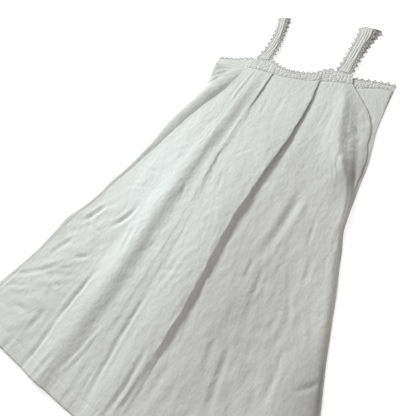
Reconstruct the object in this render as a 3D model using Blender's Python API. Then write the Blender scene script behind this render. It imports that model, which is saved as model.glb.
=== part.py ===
"""A camisole dress laid flat on the floor, front up.

The pleated front lies on a plain back. A yoke band runs across the top of each, two ribbed straps
fold over at the shoulder, and scalloped edgings with an eyelet in each tooth trim the neck, the
underarms and both sides of the straps.

Metres. X runs across the dress, +Y towards the straps, +Z up from the floor. Tables are in
millimetres, with Y measured from the top edge of the front.
"""

import bpy
import numpy as np

MM = 0.001

# Cloth thicknesses and the gap that every seam leaves
PANEL_WALL = 1.2 * MM
BAND_WALL = 1.4 * MM
LACE_WALL = 1.2 * MM
HEM_DEPTH = 30 * MM
HEM_EXTRA = 1.0 * MM
HEM_STEP = 2 * MM
SEAM_GAP = 0.3 * MM
EDGING_GAP = 0.4 * MM

# Height of the front's top edge above the middle of the dress, and of the front's side seams
TOP_EDGE_Y = 368.5 * MM
SIDE_SEAM_Z = PANEL_WALL * 1.5 + SEAM_GAP

# Distances below the top edge at which the sections of the front are stated: at its yoke seam,
# bust, ribs, waist, hip, thigh and hem
STATION_Y = (-30, -110, -200, -320, -460, -640, -900)
BODY_LENGTH = (STATION_Y[0] - STATION_Y[-1]) * MM

# Soft lines of the front, each with its plan place and its height at every station.
# An outer line hangs from the underarm seam, an inner one from the yoke seam.
SOFT_LINES = {
    "left_seam": {
        "side": "outer",
        "x": (-232, -223, -238, -254, -280, -331, -399),
        "z": (2.1, 2.1, 2.1, 2.1, 2.1, 2.1, 4.1),
    },
    "left_roll": {
        "side": "outer",
        "x": (-206, -210, -229, -247, -275, -327, -394),
        "z": (3.2, 8.0, 9.6, 8.0, 5.6, 4.6, 4.5),
    },
    "left_crest": {
        "side": "outer",
        "x": (-164, -186, -214, -238, -269, -321, -386),
        "z": (3.4, 14.2, 15.4, 11.6, 7.2, 5.0, 4.8),
    },
    "left_valley": {
        "side": "outer",
        "x": (-142, -160, -192, -222, -261.5, -316.5, -382.5),
        "z": (2.9, 3.8, 4.2, 4.2, 3.8, 4.1, 4.7),
    },
    "left_middle": {
        "side": "inner",
        "x": (-110, -118, -138, -168, -196, -222, -262),
        "z": (6.2, 14.6, 17.4, 17.0, 15.0, 13.0, 9.0),
    },
    "left_trough": {
        "side": "inner",
        "x": (-101, -104, -114, -134, -152, -163, -181),
        "z": (6.3, 14.7, 17.8, 17.6, 15.6, 11.0, 6.6),
    },
    "left_ridge": {
        "side": "inner",
        "x": (-90, -89, -91, -101, -106, -104, -119),
        "z": (6.5, 15.4, 19.0, 19.8, 20.0, 18.0, 12.0),
    },
    "left_foot": {
        "side": "inner",
        "x": (-70, -66, -68, -78, -82, -80, -96),
        "z": (6.2, 11.2, 11.8, 11.8, 11.0, 9.4, 6.4),
    },
    "centre_left": {
        "side": "inner",
        "x": (-30, -27, -26, -24, -14, -14, -20),
        "z": (5.4, 10.4, 12.0, 12.4, 11.6, 9.6, 5.8),
    },
    "centre_right": {
        "side": "inner",
        "x": (18, 26, 26, 20, 18, 22, 4),
        "z": (6.2, 12.8, 15.4, 16.2, 15.8, 14.0, 8.8),
    },
    "right_middle": {
        "side": "inner",
        "x": (92, 100, 101, 94, 90, 92, 78),
        "z": (5.2, 9.4, 9.6, 8.8, 8.4, 8.0, 5.8),
    },
    "right_soft_ridge": {
        "side": "inner",
        "x": (106, 119, 128, 138, 130, 146, 176),
        "z": (5.6, 12.0, 14.6, 15.0, 14.4, 13.0, 9.2),
    },
    "right_soft_trough": {
        "side": "inner",
        "x": (118, 134, 145, 161, 155, 173, 205),
        "z": (5.9, 14.0, 14.8, 13.0, 10.2, 9.0, 6.0),
    },
    "right_ridge": {
        "side": "inner",
        "x": (130, 157, 182, 226, 253, 296, 350),
        "z": (6.2, 19.0, 21.6, 18.4, 13.8, 10.4, 7.4),
    },
    "right_turn": {
        "side": "inner",
        "x": (137, 168, 196, 237, 262, 306, 373),
        "z": (6.1, 13.8, 15.0, 11.0, 8.0, 6.6, 6.2),
    },
    "right_flat": {
        "side": "outer",
        "x": (198, 224, 244, 255, 281, 327, 396),
        "z": (2.6, 2.8, 2.6, 2.3, 2.2, 2.2, 4.1),
    },
    "right_seam": {
        "side": "outer",
        "x": (234, 236, 247, 258, 284, 330, 400),
        "z": (2.1, 2.1, 2.1, 2.1, 2.1, 2.1, 4.1),
    },
}

# Pleats: which way the folded edge faces, the edge's plan place, the heights above and below
# the fold, how far it laps over (a negative lap is an opened fold) and the radius of its rolls
PLEATS = {
    "left_outer_pleat": {
        "facing": -1,
        "edge": (-134, -142, -175, -215, -259, -311, -373),
        "top": (6.0, 13.6, 15.0, 14.0, 11.0, 7.6, 6.0),
        "low": (2.9, 3.2, 3.4, 3.4, 3.4, 3.6, 4.6),
        "lap": (16, 14, 11, 8, 4, -1, -6),
        "roll": (0.76, 1.5, 2.0, 2.0, 1.5, 0.9, 1.5),
    },
    "left_inner_pleat": {
        "facing": 1,
        "edge": (-55, -54, -57, -58, -51, -50, -59),
        "top": (6.6, 11.8, 12.2, 12.8, 10.8, 9.4, 6.6),
        "low": (3.4, 8.6, 10.4, 9.8, 9.6, 8.2, 5.8),
        "lap": (16, 4, -10, -4, -16, -19, -22),
        "roll": (0.78, 0.72, 0.7, 0.7, 1.5, 2.0, 3.0),
    },
    "right_inner_pleat": {
        "facing": 1,
        "edge": (67, 75, 74, 63, 53, 60, 37),
        "top": (6.7, 14.0, 17.4, 18.6, 18.0, 16.4, 10.4),
        "low": (3.5, 5.2, 6.0, 6.6, 6.8, 6.2, 4.8),
        "lap": (18, 11, 3, -3, -6, -5, -9),
        "roll": (0.78, 1.4, 1.8, 2.0, 2.2, 2.2, 2.2),
    },
    "right_outer_pleat": {
        "facing": 1,
        "edge": (146, 211, 239, 249, 274, 318, 386),
        "top": (6.0, 6.6, 6.0, 5.2, 4.2, 3.8, 5.4),
        "low": (2.7, 2.8, 2.5, 2.3, 2.2, 2.2, 4.2),
        "lap": (16, 12, 5, -4, -5, -6, -6),
        "roll": (0.78, 0.8, 0.72, 0.7, 0.72, 0.9, 1.0),
    },
}

ACROSS = (
    "left_seam", "left_roll", "left_crest", "left_valley", "left_outer_pleat", "left_middle",
    "left_trough", "left_ridge", "left_foot", "left_inner_pleat", "centre_left", "centre_right",
    "right_inner_pleat", "right_middle", "right_soft_ridge", "right_soft_trough", "right_ridge",
    "right_turn", "right_outer_pleat", "right_flat", "right_seam",
)  # fmt: skip

# The least angle that a pleat's rolls turn through, so that an opened fold keeps a soft lip
LEAST_TURN = 0.25

# How far each side swells outwards (negative on the left) from its smooth line, down the dress
SIDE_SWELLS = (
    # y, left, right
    (0, 0, 2.5), (-60, 3, 2.5), (-110, 6, 2.5), (-150, 7, 0.5), (-200, 5.5, 2), (-240, -4, 4),
    (-280, -4.5, 2.5), (-320, 3.5, 1), (-360, 4.5, -2.5), (-400, 4, -5), (-440, 1, -1),
    (-470, -3, 0), (-510, 2, 2), (-560, -0.5, 1), (-600, -7.5, 0), (-640, 0, -1),
    (-700, 8, 0), (-760, 7, 0), (-820, 3, 0), (-900, 0, 0),
)  # fmt: skip
SWELL_REACH = 25 * MM

# Curves across the dress, as rows of x and y
YOKE_SEAM = (
    (-134, -31), (-120, -31), (-60, -37), (-35, -40), (8, -41.5), (50, -39), (80, -32),
    (100, -29), (146, -27),
)  # fmt: skip
SIDE_SEAM_LEFT = ((-232, -37), (-200, -35), (-150, -34), (-118, -34))
SIDE_SEAM_RIGHT = ((128, -36), (150, -35), (175, -31), (195, -25), (225, -22), (236, -24))
NECK_EDGE = (
    (-131, 3.5), (-110, 4), (-92, 4.2), (-84, 3.4), (-70, -3), (-50, -13), (-25, -19), (0, -21),
    (25, -19), (50, -12), (62, -3), (74, 4), (84, 7.4), (96, 7), (114, 5), (134, 3.4),
)  # fmt: skip
LEFT_UNDERARM = ((-231, -16), (-200, -12), (-180, -9), (-150, -1), (-118, 4))
RIGHT_UNDERARM = ((126, -7), (145, -9), (190, -8), (215, -7.6), (236, -12))
BACK_SEAM = ((-230, -37), (-180, -38), (-110, -42), (0, -50), (110, -42), (180, -36), (236, -26))
BACK_EDGE = (
    (-230, -18), (-190, -16), (-135, -8), (-110, -4), (-84, -6), (-60, -20), (0, -32),
    (60, -20), (84, -6), (110, -4), (135, -10), (190, -13), (236, -16),
)  # fmt: skip
NECK_SPAN = (-81, 86)
BACK_NECK_SPAN = (-82, 82)
BACK_SIDE_START = 136

# The lower edge: its lowest place and how much it rises at the side seams
HEM_Y = -913 * MM
HEM_RISE = 30 * MM
HEM_CURVE = 1.5
HEM_HALF_WIDTH = 0.4

# The straps with their edgings: both sides' places, height, and how much the sides droop
STRAP_COLUMNS = ("left_x", "left_y", "right_x", "right_y", "z", "droop_left", "droop_right")
STRAPS = {
    "left": {
        "front": (
            (-128, 4.4, -80, 5.4, 5.6, 0.6, 0.6),
            (-120, 45, -77.5, 44, 7.0, 0.6, 1.6),
            (-121, 95, -86, 93, 8.0, 0.8, 2.6),
            (-130, 140, -94.5, 137, 8.4, 0.8, 3.0),
            (-138, 168.5, -102, 172.5, 7.0, 0.4, 1.2),
        ),
        "back": (
            (-136, 168.5, -100, 172.5, 0.7, 0, 0),
            (-129, 130, -93, 130, 0.7, 0, 0),
            (-124, 70, -86, 70, 0.7, 0, 0),
            (-130, -3.6, -86, -3.6, 0.7, 0, 0),
        ),
    },
    "right": {
        "front": (
            (88, 8.2, 134, 5, 5.6, 0.4, 0.8),
            (91, 45, 134, 44, 7.0, 0.4, 3.0),
            (92, 95, 134, 94, 8.0, 0.4, 3.6),
            (92, 140, 138.5, 138, 8.4, 0.4, 3.4),
            (92, 169.5, 140, 164.5, 6.6, 0.4, 1.2),
        ),
        "back": (
            (107, 169.5, 152, 162.5, 0.7, 0, 0),
            (102, 140, 146, 142, 0.7, 0, 0),
            (93, 70, 135, 70, 0.7, 0, 0),
            (88, -3.6, 132, -3.6, 0.7, 0, 0),
        ),
    },
}
STRAP_EDGING = 10 * MM
STRAP_RIBS = 3
STRAP_CROWN = 0.8 * MM
CROWNED_HEIGHT = 7 * MM
DIRECTION_STEP = 0.5 * MM
DIRECTION_SHARE = 0.01

# The shoulder fold: rings on its arc, the plain stretch kept beside it, and the steps of the
# tooth that goes round it
FOLD_STEPS = 6
FOLD_MARGIN = 2 * MM
WRAPPED_STEPS = 8
WELD = 1e-7

# Edgings: tooth pitch and depth, the plain heel along the seam, and the eyelet
NECK_PITCH = 14 * MM
STRAP_PITCH = 17 * MM
TOOTH_DEPTH = 9 * MM
HEEL = 2.2 * MM
EYELET_RADIUS = 2.45 * MM
EYELET_HEIGHT = 5.0 * MM
TOOTH_SHOULDER = (0.2, 0.74)

# How finely the pieces are divided
FRONT_ROWS = (4, 4, 4, 3, 4, 4)
ROLL_POINTS = 4
SOFT_SPLITS = 2
BACK_COLUMNS = 24
BACK_ROWS = 24
BAND_COLUMNS = 30
SIDE_COLUMNS = 10
BAND_ROWS = 2
MIN_COLUMN = 2.5 * MM

# Heights across the top: the yoke's upper edge, how much the edgings droop, and the underarm
# bands, which rise over the back and again where they are tucked under the yoke
YOKE_TOP_Z = 5.6 * MM
NECK_DROOP = 0.2
SIDE_DROOP = 0.05
SIDE_RISE = 0.4 * MM
TUCK_RISE = 0.2 * MM
TUCK_START = 145 * MM
TUCK_REACH = 25 * MM
BACK_HEIGHT = BAND_WALL / 2

# How closely a seam's line is read off the front's top edge, and how far it is evened out
SEAM_READINGS = 300
SEAM_WINDOW = 15

# Plan places across the top, left to right, in the tables' millimetres
YOKE_LOWER_SPAN = (-134, 146)
YOKE_UPPER_SPAN = (-131, 134)
LEFT_LOWER_SPAN = (-231, -121)
LEFT_UPPER_SPAN = (-231, -119)
RIGHT_LOWER_SPAN = (132, 236)
RIGHT_UPPER_SPAN = (127, 236)
BACK_SPAN = (-230, 236)
LEFT_LACE_SPAN = (-231, -134)
RIGHT_LACE_SPAN = (138, 236)

CLOTH_COLOUR = (0.80, 0.80, 0.75)
LACE_COLOUR = (0.84, 0.83, 0.78)
CLOTH_ROUGHNESS = 0.92


def smooth(knots, values, at):
    """Values at the places `at` of the smooth curve through the values at rising knots."""
    knots = np.asarray(knots, float)
    values = np.asarray(values, float)
    at = np.asarray(at, float)
    slopes = np.gradient(values, knots, axis=0)
    i = np.clip(np.searchsorted(knots, at, side="right") - 1, 0, len(knots) - 2)
    extra = (1,) * (values.ndim - 1)
    span = (knots[i + 1] - knots[i]).reshape(at.shape + extra)
    t = np.clip((at - knots[i]) / (knots[i + 1] - knots[i]), 0, 1).reshape(at.shape + extra)
    rise = t * t * (3 - 2 * t)
    lead = t * (1 - t) ** 2 * slopes[i] - t * t * (1 - t) * slopes[i + 1]
    return values[i] * (1 - rise) + values[i + 1] * rise + span * lead


def curve(table, x):
    """The y of a table's curve at x, all in metres."""
    rows = np.asarray(table, float) * MM
    return smooth(rows[:, 0], rows[:, 1], np.clip(x, rows[0, 0], rows[-1, 0]))


def back_seam(x):
    """The y of the back band's lower seam at x."""
    return curve(BACK_SEAM, x)


def hem_line(x):
    """The y of the lower edge at x."""
    return HEM_Y + HEM_RISE * np.minimum(np.abs(x) / HEM_HALF_WIDTH, 1) ** HEM_CURVE


def unit(vectors):
    """The vectors at length one."""
    return vectors / np.maximum(np.linalg.norm(vectors, axis=-1, keepdims=True), 1e-12)


def bisectors(points, axis):
    """The direction of travel along an axis of a grid, halfway between the two sides at a point."""
    steps = unit(np.diff(points, axis=axis))
    first = np.take(steps, [0], axis=axis)
    last = np.take(steps, [-1], axis=axis)
    steps = np.concatenate([first, steps, last], axis=axis)
    count = points.shape[axis]
    before = np.take(steps, range(count), axis=axis)
    after = np.take(steps, range(1, count + 1), axis=axis)
    return unit(before + after)


def grid_faces(rows, columns):
    """Four-sided faces of a grid of points stored row by row."""
    index = np.arange(rows * columns).reshape(rows, columns)
    corners = [index[:-1, :-1], index[:-1, 1:], index[1:, 1:], index[1:, :-1]]
    return np.stack(corners, -1).reshape(-1, 4)


def material_for(name, colour):
    """A plain cloth material of its own for one piece."""
    material = bpy.data.materials.new(name + "_cloth")
    material.use_nodes = True
    shader = material.node_tree.nodes["Principled BSDF"]
    shader.inputs["Base Color"].default_value = (*colour, 1)
    shader.inputs["Roughness"].default_value = CLOTH_ROUGHNESS
    return material


def shell(name, points, normals, faces, above, below, colour):
    """A closed piece of cloth: the surface moved out on both sides and joined round its edges."""
    points = points + np.array([0, TOP_EDGE_Y, 0])
    count = len(points)
    vertices = np.concatenate([points + normals * above, points - normals * below])
    ends = np.stack([faces, np.roll(faces, -1, axis=1)], -1).reshape(-1, 2)
    keys = ends.min(axis=1) * count + ends.max(axis=1)
    _, index, uses = np.unique(keys, return_inverse=True, return_counts=True)
    rim = ends[uses[index.ravel()] == 1]
    sides = np.stack([rim[:, 1], rim[:, 0], rim[:, 0] + count, rim[:, 1] + count], -1)
    all_faces = np.concatenate([faces, faces[:, ::-1] + count, sides])
    mesh = bpy.data.meshes.new(name)
    mesh.from_pydata(vertices.tolist(), [], all_faces.tolist())
    mesh.materials.append(material_for(name, colour))
    mesh.update()
    piece = bpy.data.objects.new(name, mesh)
    bpy.context.scene.collection.objects.link(piece)
    return piece


def sheet(name, points, above, below, colour, flat_ends=False):
    """A shell on a grid of points, rows running down the dress and columns to the right."""
    across = bisectors(points, 1)
    down = bisectors(points, 0)
    if flat_ends:
        down[[0, -1]] = (0, -1, 0)
    normals = unit(np.cross(down, across))
    rows, columns = points.shape[:2]
    faces = grid_faces(rows, columns)[:, ::-1]
    shape = (rows, columns)
    above = np.broadcast_to(above, shape).reshape(-1, 1)
    below = np.broadcast_to(below, shape).reshape(-1, 1)
    return shell(name, points.reshape(-1, 3), normals.reshape(-1, 3), faces, above, below, colour)


def folded_edge(edge, top, low, lap, roll, facing, count=ROLL_POINTS):
    """Each row's points across one pleat, left to right: over its upper roll, back under, and
    round its lower roll. It is worked out as if the edge faced right, then mirrored."""
    upper = np.stack([facing * edge - roll, top - roll], -1)
    lower = np.stack([facing * edge - lap + roll, low + roll], -1)
    across = lower[:, 0] - upper[:, 0]
    down = upper[:, 1] - lower[:, 1]
    apart = np.hypot(across, down)
    turn = np.arctan2(down, across) + np.arcsin(np.clip(2 * roll / apart, -1, 1))
    turn = np.maximum(turn, LEAST_TURN)
    angle = turn[:, None] * np.linspace(0, 1, count)
    over = upper[:, None] + roll[:, None, None] * np.stack([np.sin(angle), np.cos(angle)], -1)
    angle = angle[:, ::-1]
    under = lower[:, None] - roll[:, None, None] * np.stack([np.sin(angle), np.cos(angle)], -1)
    points = np.concatenate([over, under], 1)
    return points if facing > 0 else points[:, ::-1] * (-1, 1)


def through(points, outer, level, splits):
    """Each row's smooth curve through its points, with every stretch divided into its splits.
    The curve runs level through the points that `level` marks."""
    steps = np.diff(points, axis=1)
    lengths = np.maximum(np.linalg.norm(steps, axis=2, keepdims=True), 1e-9)
    slopes = steps / lengths
    weights = lengths[:, 1:] / (lengths[:, 1:] + lengths[:, :-1])
    inner = slopes[:, :-1] * weights + slopes[:, 1:] * (1 - weights)
    tangents = np.concatenate([slopes[:, :1], inner, slopes[:, -1:]], 1)
    tangents[:, level] = (1, 0)
    columns = [points[:, 0]]
    sides = [outer[0]]
    for k, count in enumerate(splits):
        for t in np.arange(1, count + 1) / count:
            rise = t * t * (3 - 2 * t)
            lead = t * (1 - t) ** 2 * tangents[:, k] - t * t * (1 - t) * tangents[:, k + 1]
            ends = points[:, k] * (1 - rise) + points[:, k + 1] * rise
            columns.append(ends + lengths[:, k] * lead)
            sides.append(outer[k] * (1 - t) + outer[k + 1] * t)
    return np.stack(columns, 1), np.array(sides)


def front_sections(stations):
    """The front's sections at the given station heights: points (rows, columns, x and z), and
    how far each column belongs to the underarm seam."""
    knots = -np.array(STATION_Y, float)
    points, outer, level, splits = [], [], [], []
    for name in ACROSS:
        if name in SOFT_LINES:
            line = SOFT_LINES[name]
            table = np.stack([line["x"], line["z"]], -1)
            points.append(smooth(knots, table, -stations)[:, None] * MM)
            outer.append(float(line["side"] == "outer"))
            level.append(False)
            splits.append(SOFT_SPLITS)
            continue
        pleat = PLEATS[name]
        sizes = {
            key: smooth(knots, pleat[key], -stations) * MM
            for key in ("edge", "top", "low", "lap", "roll")
        }
        fold = folded_edge(**sizes, facing=pleat["facing"])
        points.append(fold)
        is_outer = name.endswith("outer_pleat")
        under = [float(is_outer)] * ROLL_POINTS
        over = [0.0] * ROLL_POINTS
        outer += over + under if pleat["facing"] > 0 else under + over
        level += [True] + [False] * (2 * ROLL_POINTS - 2) + [True]
        splits += [1] * (2 * ROLL_POINTS - 1) + [SOFT_SPLITS]
    return through(np.concatenate(points, 1), np.array(outer), np.array(level), splits[:-1])


def front_rows():
    """Station heights of the front's rows, in the tables' millimetres."""
    rows = [np.array([STATION_Y[0]], float)]
    for start, end, count in zip(STATION_Y, STATION_Y[1:], FRONT_ROWS):
        rows.append(np.linspace(start, end, count + 1)[1:])
    rows = np.concatenate(rows)
    fold = STATION_Y[-1] + HEM_DEPTH / MM
    rows = np.sort(np.append(rows, [fold, fold + HEM_STEP / MM]))[::-1]
    return rows


def side_seam(x):
    """The y of the underarm seam at x, on either side."""
    return np.where(x < 0, curve(SIDE_SEAM_LEFT, x), curve(SIDE_SEAM_RIGHT, x))


def swollen(x, stations):
    """The places x of a grid's columns, swelled near both of its sides."""
    rows = np.array(SIDE_SWELLS[::-1], float)
    swell = smooth(rows[:, 0], rows[:, 1:], stations) * MM
    left = swell[:, :1] * np.exp(-(x - x[:, :1]) / SWELL_REACH)
    right = swell[:, 1:] * np.exp(-(x[:, -1:] - x) / SWELL_REACH)
    return x + left + right


def front_surface():
    """The front's middle surface as a grid of points, how far each column belongs to the
    underarm seam, and the rows' station heights."""
    stations = front_rows()
    section, outer = front_sections(stations)
    x, z = swollen(section[..., 0], stations), section[..., 1]
    top = curve(YOKE_SEAM, x) * (1 - outer) + side_seam(x) * outer - SEAM_GAP
    share = (STATION_Y[0] - stations) / (STATION_Y[0] - STATION_Y[-1])
    y = top + share[:, None] * (hem_line(x) - top)
    return np.stack([x, y, z], -1), outer, stations


def add_front():
    """The front panel, thicker at the turned hem. Returns the parts of its surface that hang from
    the left underarm, the yoke and the right underarm."""
    points, outer, stations = front_surface()
    turned = stations <= STATION_Y[-1] + HEM_DEPTH / MM
    below = np.where(turned, PANEL_WALL / 2 + HEM_EXTRA, PANEL_WALL / 2)[:, None]
    sheet("front_panel", points, PANEL_WALL / 2, below, CLOTH_COLOUR, flat_ends=True)
    left = points[0, :, 0] < 0
    return points[:, (outer == 1) & left], points[:, outer == 0], points[:, (outer == 1) & ~left]


def add_back():
    """The back panel, flat on the floor, with its hem turned inwards."""
    fold = 1 - HEM_DEPTH / BODY_LENGTH
    rows = np.append(np.linspace(0, 1, BACK_ROWS), [fold - HEM_STEP / BODY_LENGTH, fold])
    rows = np.unique(rows)
    stations = STATION_Y[0] + rows * (STATION_Y[-1] - STATION_Y[0])
    knots = -np.array(STATION_Y, float)
    left = smooth(knots, SOFT_LINES["left_seam"]["x"], -stations) * MM
    right = smooth(knots, SOFT_LINES["right_seam"]["x"], -stations) * MM
    across = np.linspace(0, 1, BACK_COLUMNS)
    x = swollen(left[:, None] + (right - left)[:, None] * across, stations)
    top = back_seam(x) - SEAM_GAP
    y = top + rows[:, None] * (hem_line(x) - top)
    z = np.full_like(x, PANEL_WALL / 2)
    above = np.where(rows >= fold, PANEL_WALL / 2 + HEM_EXTRA, PANEL_WALL / 2)[:, None]
    grid = np.stack([x, y, z], -1)
    sheet("back_panel", grid, above, PANEL_WALL / 2, CLOTH_COLOUR, flat_ends=True)


def top_line(points):
    """Along the top edge of part of the front: places across, its y, and the height of its
    uppermost layer evened out across the pleats."""
    row = points[0]
    places = np.linspace(row[:, 0].min(), row[:, 0].max(), SEAM_READINGS)
    start, end = row[:-1], row[1:]
    run = end[:, 0] - start[:, 0]
    share = (places[:, None] - start[:, 0]) / np.where(np.abs(run) < 1e-9, 1e-9, run)
    inside = (share >= -1e-6) & (share <= 1 + 1e-6)
    y = np.where(inside, start[:, 1] + share * (end - start)[:, 1], -1).max(axis=1)
    z = np.where(inside, start[:, 2] + share * (end - start)[:, 2], 0).max(axis=1)
    window = np.hanning(SEAM_WINDOW)
    padded = np.pad(z, SEAM_WINDOW // 2, mode="edge")
    return places, y, np.convolve(padded, window / window.sum(), mode="valid")


def seam_above(points):
    """The y at x of the seam that leaves the gap above part of the front's top edge, and the
    places where that edge bends."""
    places, y, _ = top_line(points)
    return lambda x: np.interp(x, places, y) + SEAM_GAP, points[0, :, 0]


def band_shares(bends, start, end, count):
    """Shares of the way across at which a band has its columns: evenly spread ones, and one at
    each bend of the seam that it follows."""
    bends = (np.unique(np.round(bends, 4)) - start) / (end - start)
    bends = np.sort(bends[(bends > 0) & (bends < 1)])
    apart = MIN_COLUMN / abs(end - start)
    kept = [0.0]
    for share in bends:
        if share - kept[-1] > apart and 1 - share > apart:
            kept.append(float(share))
    kept = np.array(kept + [1.0])
    even = np.linspace(0, 1, count)
    near = np.abs(even[:, None] - kept).min(axis=1)
    return np.sort(np.concatenate([kept, even[near > apart]]))


def add_band(name, x_low, x_high, lower, upper, height, columns):
    """A strip across the dress between two curves, with its height at the lower and upper edge."""
    seam, bends = lower
    rows = np.linspace(0, 1, BAND_ROWS + 1)[:, None]
    share = band_shares(bends, x_low[0] * MM, x_low[1] * MM, columns)
    bottom_x = (x_low[0] + (x_low[1] - x_low[0]) * share) * MM
    top_x = (x_high[0] + (x_high[1] - x_high[0]) * share) * MM
    x = top_x + rows * (bottom_x - top_x)
    y_top = curve(upper, top_x)
    y = y_top + rows * (seam(bottom_x) - y_top)
    z = height(x, rows)
    grid = np.stack([x, y, z], -1)
    sheet(name, grid, BAND_WALL / 2, BAND_WALL / 2, LACE_COLOUR, flat_ends=True)
    return grid


def eyelet_teeth(start, end, pitch):
    """Flat points and faces of a run of teeth, each a ring round its eyelet."""
    teeth = max(1, round((end - start) / pitch))
    pitch = (end - start) / teeth
    shoulder, height = TOOTH_SHOULDER
    outline = np.array(
        [
            (0, 0),
            (pitch / 2, 0),
            (pitch, 0),
            (pitch, HEEL),
            (pitch * (1 - shoulder), TOOTH_DEPTH * height),
            (pitch / 2, TOOTH_DEPTH),
            (pitch * shoulder, TOOTH_DEPTH * height),
            (0, HEEL),
        ]
    )
    middle = np.array([pitch / 2, EYELET_HEIGHT])
    cell = np.concatenate([outline, middle + unit(outline - middle) * EYELET_RADIUS])
    corners = len(outline)
    here = np.arange(corners)
    after = (here + 1) % corners
    ring = np.stack([here, after, after + corners, here + corners], -1)
    starts = np.stack([start + np.arange(teeth) * pitch, np.zeros(teeth)], -1)
    flat = (cell[None] + starts[:, None]).reshape(-1, 2)
    faces = (ring[None] + (np.arange(teeth) * len(cell))[:, None, None]).reshape(-1, 4)
    return flat, faces


def wrapped_tooth(start, end):
    """Flat points and faces of the plain tooth that goes round the shoulder fold."""
    share = np.linspace(0, 1, WRAPPED_STEPS + 1)
    along = start + (end - start) * share
    out = HEEL + (TOOTH_DEPTH - HEEL) * np.sin(np.pi * share)
    flat = np.stack([np.tile(along, 2), np.concatenate([0 * out, out])], -1)
    here = np.arange(WRAPPED_STEPS)
    above = here + WRAPPED_STEPS + 1
    return flat, np.stack([here, here + 1, above + 1, above], -1)


def add_lace(name, runs, place):
    """A scalloped edging from its runs of flat teeth. `place` takes distances along and out from
    its seam and gives points and normals."""
    flat = np.concatenate([points for points, _ in runs])
    starts = np.cumsum([0] + [len(points) for points, _ in runs])
    faces = np.concatenate([cells + start for (_, cells), start in zip(runs, starts)])
    _, first, index = np.unique(
        np.round(flat / WELD).astype(int), axis=0, return_index=True, return_inverse=True
    )
    flat = flat[first]
    points, normals = place(flat[:, 0], flat[:, 1])
    half = LACE_WALL / 2
    return shell(name, points, normals, index.ravel()[faces], half, half, LACE_COLOUR)


def along_edge(edge, start, end, height):
    """A place function for an edging on the upper edge of a band, from one x to another."""
    x = np.unique(np.concatenate([[start * MM, end * MM], edge[:, 0]]))
    x = x[(x >= start * MM) & (x <= end * MM)]
    line = np.stack([x, np.interp(x, edge[:, 0], edge[:, 1])], -1)
    steps = np.linalg.norm(np.diff(line, axis=0), axis=1)
    travelled = np.append(0, np.cumsum(steps))
    directions = bisectors(line, 0)

    def place(along, out):
        at = np.stack([np.interp(along, travelled, line[:, k]) for k in (0, 1)], -1)
        way = unit(np.stack([np.interp(along, travelled, directions[:, k]) for k in (0, 1)], -1))
        outwards = np.stack([-way[:, 1], way[:, 0]], -1)
        plan = at + outwards * (out + EDGING_GAP)[:, None]
        z = height(at[:, 0], out)
        points = np.concatenate([plan, z[:, None]], 1)
        normals = np.zeros_like(points)
        normals[:, 2] = 1
        return points, normals

    return travelled[-1], place


def strap_path(table):
    """The rings of one strap: from the front's base up to the shoulder, round the fold and back
    down underneath."""
    front = np.array(table["front"], float)
    back = np.array(table["back"], float)
    z = STRAP_COLUMNS.index("z")
    radius = (front[-1, z] - back[0, z]) / 2
    turn = np.linspace(0, np.pi, FOLD_STEPS + 1)[:, None]
    share = turn / np.pi
    fold = front[-1] * (1 - share) + back[0] * share
    for column in ("left_y", "right_y"):
        fold[:, STRAP_COLUMNS.index(column)] += radius * np.sin(turn[:, 0])
    fold[:, z] = back[0, z] + radius * (1 + np.cos(turn[:, 0]))
    return np.concatenate([front[:-1], fold, back[1:]]) * MM


def strap_surface(table):
    """The length of a strap's path, its width along it, and the place of any point on it."""
    rings = strap_path(table)
    middle = np.stack([(rings[:, 0] + rings[:, 2]) / 2, (rings[:, 1] + rings[:, 3]) / 2], -1)
    centres = np.concatenate([middle, rings[:, 4:5]], 1)
    travelled = np.append(0, np.cumsum(np.linalg.norm(np.diff(centres, axis=0), axis=1)))

    def spot(along, share):
        ring = smooth(travelled, rings, np.clip(along, 0, travelled[-1]))
        left = np.stack([ring[:, 0], ring[:, 1], ring[:, 4]], -1)
        right = np.stack([ring[:, 2], ring[:, 3], ring[:, 4]], -1)
        share = share[:, None]
        point = left * (1 - share) + right * share
        side = np.abs(2 * share[:, 0] - 1)
        droop = np.where(share[:, 0] < 0.5, ring[:, 5], ring[:, 6]) * side**3
        raised = np.clip(ring[:, 4] / CROWNED_HEIGHT, 0, 1)
        lift = STRAP_CROWN * (1 - side**2) * raised**3
        point[:, 2] = np.maximum(point[:, 2] + lift - droop, BAND_WALL / 2)
        return point

    def place(along, share):
        ahead = spot(along + DIRECTION_STEP, share) - spot(along - DIRECTION_STEP, share)
        over = spot(along, share + DIRECTION_SHARE) - spot(along, share - DIRECTION_SHARE)
        return spot(along, share), unit(np.cross(over, ahead))

    def width(along):
        ring = smooth(travelled, rings, along)
        return np.hypot(ring[:, 2] - ring[:, 0], ring[:, 3] - ring[:, 1])

    return travelled, width, place


def strap_stops(total, fold):
    """Distances along a strap of its rings: at every tooth's ends and middle, and closer together
    round the shoulder fold."""
    runs = []
    for start, end in ((0, fold[0]), (fold[1], total)):
        teeth = max(1, round((end - start) / STRAP_PITCH))
        runs.append(np.linspace(start, end, 2 * teeth + 1))
    return np.unique(np.concatenate([*runs, np.linspace(*fold, WRAPPED_STEPS + 1)]))


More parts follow.
